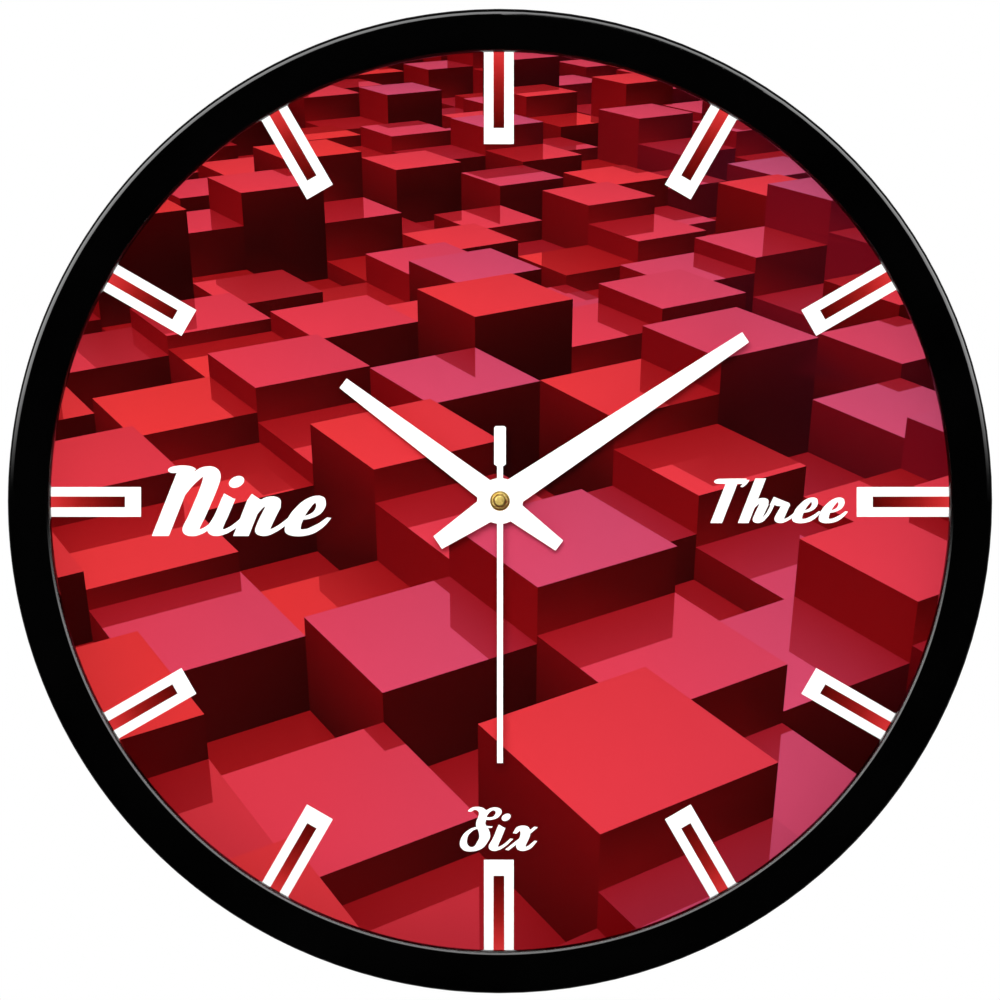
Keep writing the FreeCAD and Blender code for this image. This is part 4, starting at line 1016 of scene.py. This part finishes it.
R_SMALL = {
    "strokes": (
        ((-0.29, 0.46, 0.45), (-0.16, 0.44, 0.95), (-0.02, 0.42, 1.0), (0.03, 0.36, 0.9)),
        ((0.02, 0.4, 0.85), (0.0, 0.25, 0.95), (-0.01, 0.11, 1.0), (0.05, 0.045, 0.85), (0.15, 0.07, 0.6)),
        ((0.12, 0.05, 0.6), (0.24, 0.13, 0.45), (0.36, 0.28, 0.35)),
    ),
    "spurs": (((-0.35, 0.4), (-0.1, 0.42), (0.02, 0.47), (-0.33, 0.59)),),
}
S_CAPITAL = {
    "strokes": (
        ((-0.1, 0.925, 0.5), (-0.03, 0.975, 0.6), (0.12, 0.957, 0.75), (0.23, 0.86, 0.85), (0.26, 0.66, 1.0)),
        ((0.25, 0.72, 1.0), (0.28, 0.6, 1.0), (0.4, 0.47, 1.1), (0.49, 0.31, 1.15), (0.46, 0.14, 1.1)),
        ((0.48, 0.2, 1.1), (0.44, 0.1, 1.05), (0.34, 0.045, 0.95), (0.19, 0.045, 0.9), (0.06, 0.12, 0.8)),
        ((0.09, 0.09, 0.8), (0.02, 0.2, 0.75), (0.01, 0.36, 0.6), (0.11, 0.49, 0.5), (0.28, 0.545, 0.45)),
        ((0.22, 0.535, 0.45), (0.4, 0.55, 0.42), (0.58, 0.543, 0.3)),
        ((0.26, 0.76, 0.7), (0.32, 0.9, 0.6), (0.44, 0.965, 0.62), (0.57, 0.93, 0.66), (0.61, 0.84, 0.62)),
        ((0.61, 0.88, 0.62), (0.57, 0.78, 0.58), (0.45, 0.74, 0.55), (0.3, 0.75, 0.5)),
    ),
    "round_starts": (0,),
}
X_SMALL = {
    "strokes": (
        ((0.03, 0.4, 0.4), (0.1, 0.52, 0.8), (0.22, 0.51, 1.0), (0.3, 0.36, 1.05), (0.29, 0.17, 1.05)),
        ((0.29, 0.22, 1.05), (0.3, 0.1, 1.0), (0.39, 0.045, 0.85), (0.51, 0.09, 0.6), (0.61, 0.23, 0.32)),
        ((-0.01, 0.02, 0.45), (0.25, 0.29, 0.5), (0.49, 0.55, 0.45)),
    ),
}

# letters with how far each starts from the last, then the word's middle, height and width
WORDS = (
    (
        "word_nine",
        ((0.0, N_CAPITAL), (0.764, I_SMALL), (0.397, N_SMALL), (0.691, E_SMALL)),
        (-79.1, 0.05),
        21.7,
        54.9,
    ),
    (
        "word_three",
        ((0.0, T_CAPITAL), (0.62, H_SMALL), (0.795, R_SMALL), (0.385, E_SMALL), (0.61, E_SMALL)),
        (85.4, 0.05),
        13.7,
        42.1,
    ),
    ("word_six", ((0.0, S_CAPITAL), (0.8, I_SMALL), (0.35, X_SMALL)), (-0.35, -100.4), 13.7, 23.9),
)


def curve_through(points):
    """A smooth run of points through the given ones."""
    padded = [points[0], *points, points[-1]]
    run = []
    for index in range(1, len(padded) - 2):
        before, start, end, after = (Vector(padded[index + step]) for step in (-1, 0, 1, 2))
        for step in range(STEPS):
            t = step / STEPS
            run.append(0.5 * (
                2 * start
                + (end - before) * t
                + (2 * before - 5 * start + 4 * end - after) * t * t
                + (3 * start - before - 3 * end + after) * t * t * t
            ))
    run.append(Vector(points[-1]))
    return run


def nib_sides(run, index):
    """The two points of the nib's edge that bound a stroke at one of its points."""
    before = run[max(index - 1, 0)]
    after = run[min(index + 1, len(run) - 1)]
    heading = (after - before).xy.normalized()
    across = run[index].z * NIB_ACROSS
    along = run[index].z * NIB_ALONG
    length = math.hypot(across * heading.y, along * heading.x)
    edge = Vector((-across * across * heading.y, along * along * heading.x)) / length
    return run[index].xy + edge, run[index].xy - edge


def stroke_polygons(points, round_start):
    """The convex pieces that a nib covers along one stroke."""
    run = curve_through(points)
    sides = [nib_sides(run, index) for index in range(len(run))]
    pieces = []
    for (left, right), (next_left, next_right) in zip(sides, sides[1:]):
        quad = [left, right, next_right, next_left]
        pieces.append([tuple(quad[index]) for index in convex_hull_2d(quad)])
    if round_start:
        pieces.append(ring_around(run[0], run[0].z * NIB_ACROSS, run[0].z * NIB_ALONG))
    return pieces


def word_polygons(letters):
    """The convex pieces of all of a word's letters, slanted and set side by side."""
    pieces = []
    start = 0.0
    for step, letter in letters:
        start += step
        drawn = list(letter.get("spurs", ()))
        rounds = letter.get("round_starts", ())
        for number, points in enumerate(letter["strokes"]):
            drawn.extend(stroke_polygons(points, number in rounds))
        pieces.extend([(x + start + SLANT * y, y) for x, y in piece] for piece in drawn)
    return pieces


def make_word(name, letters, middle, height, width, ink):
    """One hour word in raised white ink, scaled to its place on the dial."""
    pieces = word_polygons(letters)
    xs = [x for piece in pieces for x, y in piece]
    ys = [y for piece in pieces for x, y in piece]
    tall = height * MM / (max(ys) - min(ys))
    wide = width * MM / (max(xs) - min(xs))
    left = middle[0] * MM - wide * (max(xs) + min(xs)) / 2
    low = middle[1] * MM - tall * (max(ys) + min(ys)) / 2
    placed = [[(left + wide * x, low + tall * y) for x, y in piece] for piece in pieces]
    corners, triangles, owners = arrange(placed)
    kept = [triangle for triangle, owner in zip(triangles, owners) if owner >= 0]
    plate = flat_piece(corners, kept, DIAL_FRONT, DIAL_FRONT - INK)
    return new_piece(name, plate, ink.material)


# ---------------------------------------------------------------- stage, light and camera

# the picture's width in the plane of the rim's front, the lens and its sensor in millimetres,
# how far the camera stands off the axis, and the floor's depth and width
VIEW_SPAN = 304.4 * MM
LENS = 400.0
SENSOR = 36.0
CAMERA_OFF = (0.0, 0.31 * MM)
FLOOR_DROP = 0.75
FLOOR_SIZE = 12

# lamps that all face the hands' hub: place, width and height, watts
KEY = ((-0.24, -4.16, 1.04), (1.92, 1.44), 195)
BACK_FILL = ((-0.9, 1.5, 0.8), (1.2, 1.2), 60)
SIDE_FILL = ((1.6, 0.5, 0.6), (0.8, 1.2), 30)
BACK_SOFTBOX = ((0.5, 1.7, 0.6), (2.2, 1.4), 55)
FLOOR_LIGHT = ((0, 0, 2.5), (3, 3), 45)
BRASS_LIGHT = ((-0.25, -1.4, 0.45), (0.5, 0.5), 10)

HANDS = ("hour_hand", "minute_hand", "second_hand", "second_hand_cap")
BRASSES = ("second_hand_cap", "second_hand_tube", "minute_hand_bush", "hour_hand_bush")
SEEN_IN_FRONT = ("front_frame", "lens_glass", "hour_hand", "minute_hand", "second_hand")

# the sky's bright arch and its dim rear, where each rises along the direction's axes, how far
# the arch bends back to the sides, and the strengths
ARCH_FRONT = (-0.3, -0.22)
ARCH_BACK = (0.26, 0.1)
ARCH_SWEEP = 0.25
ARCH_LOW = (0.02, 0.3)
REAR = (0.5, 0.9)
ARCH_LEVEL = 5.2
FRONT_LEVEL = 0.004
REAR_LEVEL = 0.12
DIFFUSE_LEVEL = 0.4


def make_stage():
    """A plain pale floor, well below the hanging clock."""
    bpy.ops.mesh.primitive_plane_add(size=FLOOR_SIZE, location=(0, 0, -FLOOR_DROP))
    floor = bpy.context.object
    floor.name = "studio_floor"
    look = Look("studio_floor_paint")
    look.mottled(paint(236, 236, 235), paint(242, 242, 241), 3)
    look.worn(0.6, 0.75, 5)
    floor.data.materials.append(look.material)
    floor.visible_glossy = False
    return floor


def area_light(name, lamp, in_gloss=False):
    """A rectangular lamp facing the hub, which polished pieces mirror only where asked."""
    place, size, power = lamp
    light = bpy.data.lights.new(name, "AREA")
    light.shape = "RECTANGLE"
    light.size, light.size_y = size
    light.energy = power
    holder = bpy.data.objects.new(name, light)
    holder.location = place
    holder.rotation_euler = (-Vector(place)).to_track_quat("-Z", "Y").to_euler()
    holder.visible_glossy = in_gloss
    holder.visible_camera = False
    bpy.context.scene.collection.objects.link(holder)
    return holder


def group_of(role, things):
    """A collection of objects that a lamp lights, or that alone shade its light."""
    group = bpy.data.collections.new(role)
    for thing in things:
        group.objects.link(thing)
    return group


def nodes_named(*names):
    """The CAD nodes with these names."""
    return [frame["nodes"][name] for name in names]


def make_keys(printed):
    """The same soft lamp twice, in front: one for the print, which only the hands shade, and
    one for the CAD nodes, whose hands and rim don't shade each other."""
    for name, shades, lit in (
        ("dial_key", nodes_named(*HANDS), printed),
        ("front_key", nodes_named("back_case"), list(frame["nodes"].values())),
    ):
        key = area_light(name, KEY)
        key.light_linking.blocker_collection = group_of(name + "_shades", shades)
        key.light_linking.receiver_collection = group_of(name + "_lit", lit)


def make_lights(printed, floor):
    """The keys, fills for the sides and the back, and lamps that light a few pieces only."""
    make_keys(printed)
    area_light("back_fill", BACK_FILL)
    area_light("side_fill", SIDE_FILL)
    hidden = [node for name, node in frame["nodes"].items() if name not in SEEN_IN_FRONT]
    for name, lamp, in_gloss, lit in (
        ("back_softbox", BACK_SOFTBOX, True, hidden),
        ("floor_light", FLOOR_LIGHT, False, [floor]),
        ("brass_light", BRASS_LIGHT, True, nodes_named(*BRASSES)),
    ):
        holder = area_light(name, lamp, in_gloss)
        holder.light_linking.receiver_collection = group_of(name + "_lit", lit)


class Sky(Wiring):
    """The world's nodes, on the direction of each ray."""

    def __init__(self):
        world = bpy.data.worlds.new("studio")
        world.use_nodes = True
        bpy.context.scene.world = world
        super().__init__(world.node_tree, "Generated")

    def slope(self, source, start, end):
        """A smooth rise from 0 at start to 1 at end, or a fall where end is the lower."""
        return self.spread(source, 0.0, 1.0, start, end, interpolation_type="SMOOTHSTEP")

    def choose(self, switch, off, on):
        """One value where the switch is 0 and the other where it is 1."""
        made = self.node("ShaderNodeMix", data_type="FLOAT")
        self.link(switch, made.inputs["Factor"])
        self.feed(off, made.inputs[2])
        self.feed(on, made.inputs[3])
        return made.outputs[0]


def make_world():
    """White to the eye, soft grey as light, and in reflections a bright arch on near black."""
    sky = Sky()
    axes = sky.axes()
    front = sky.slope(axes["Y"], *ARCH_FRONT)
    sweep = sky.math("MULTIPLY", sky.math("ABSOLUTE", axes["X"]), ARCH_SWEEP)
    back = sky.slope(sky.math("SUBTRACT", axes["Y"], sweep), *ARCH_BACK)
    high = sky.slope(axes["Z"], *ARCH_LOW)
    arch = sky.math("MULTIPLY", sky.math("MULTIPLY", front, back), high)
    rear = sky.math("MULTIPLY", sky.slope(axes["Y"], *REAR), REAR_LEVEL)
    dim = sky.math("ADD", rear, FRONT_LEVEL)
    gloss = sky.math("ADD", sky.math("MULTIPLY", arch, ARCH_LEVEL), dim)
    path = sky.node("ShaderNodeLightPath").outputs
    level = sky.choose(path["Is Glossy Ray"], DIFFUSE_LEVEL, gloss)
    background = sky.tree.nodes["Background"]
    sky.link(sky.choose(path["Is Camera Ray"], level, 1.0), background.inputs["Strength"])
    background.inputs["Color"].default_value = (1.0, 1.0, 1.0, 1.0)


def make_camera():
    """Straight in front of the dial, from far enough to look almost without perspective."""
    camera = bpy.data.cameras.new("camera")
    camera.lens = LENS
    camera.sensor_width = SENSOR
    camera.clip_end = 50
    holder = bpy.data.objects.new("camera", camera)
    distance = VIEW_SPAN * LENS / SENSOR
    holder.location = (CAMERA_OFF[0], RIM_FRONT - distance, CAMERA_OFF[1])
    holder.rotation_euler = (math.pi / 2, 0, 0)
    bpy.context.scene.collection.objects.link(holder)
    bpy.context.scene.camera = holder


def main():
    scene = bpy.context.scene
    scene.view_settings.view_transform = "Standard"
    scene.view_settings.look = "None"
    make_camera()
    make_world()
    floor = make_stage()
    looks = all_looks()
    dress_nodes(looks)
    printed = [make_dial(looks), *make_marks()]
    ink = white_ink_look()
    printed += [make_word(*word, ink) for word in WORDS]
    make_lights(printed, floor)


main()
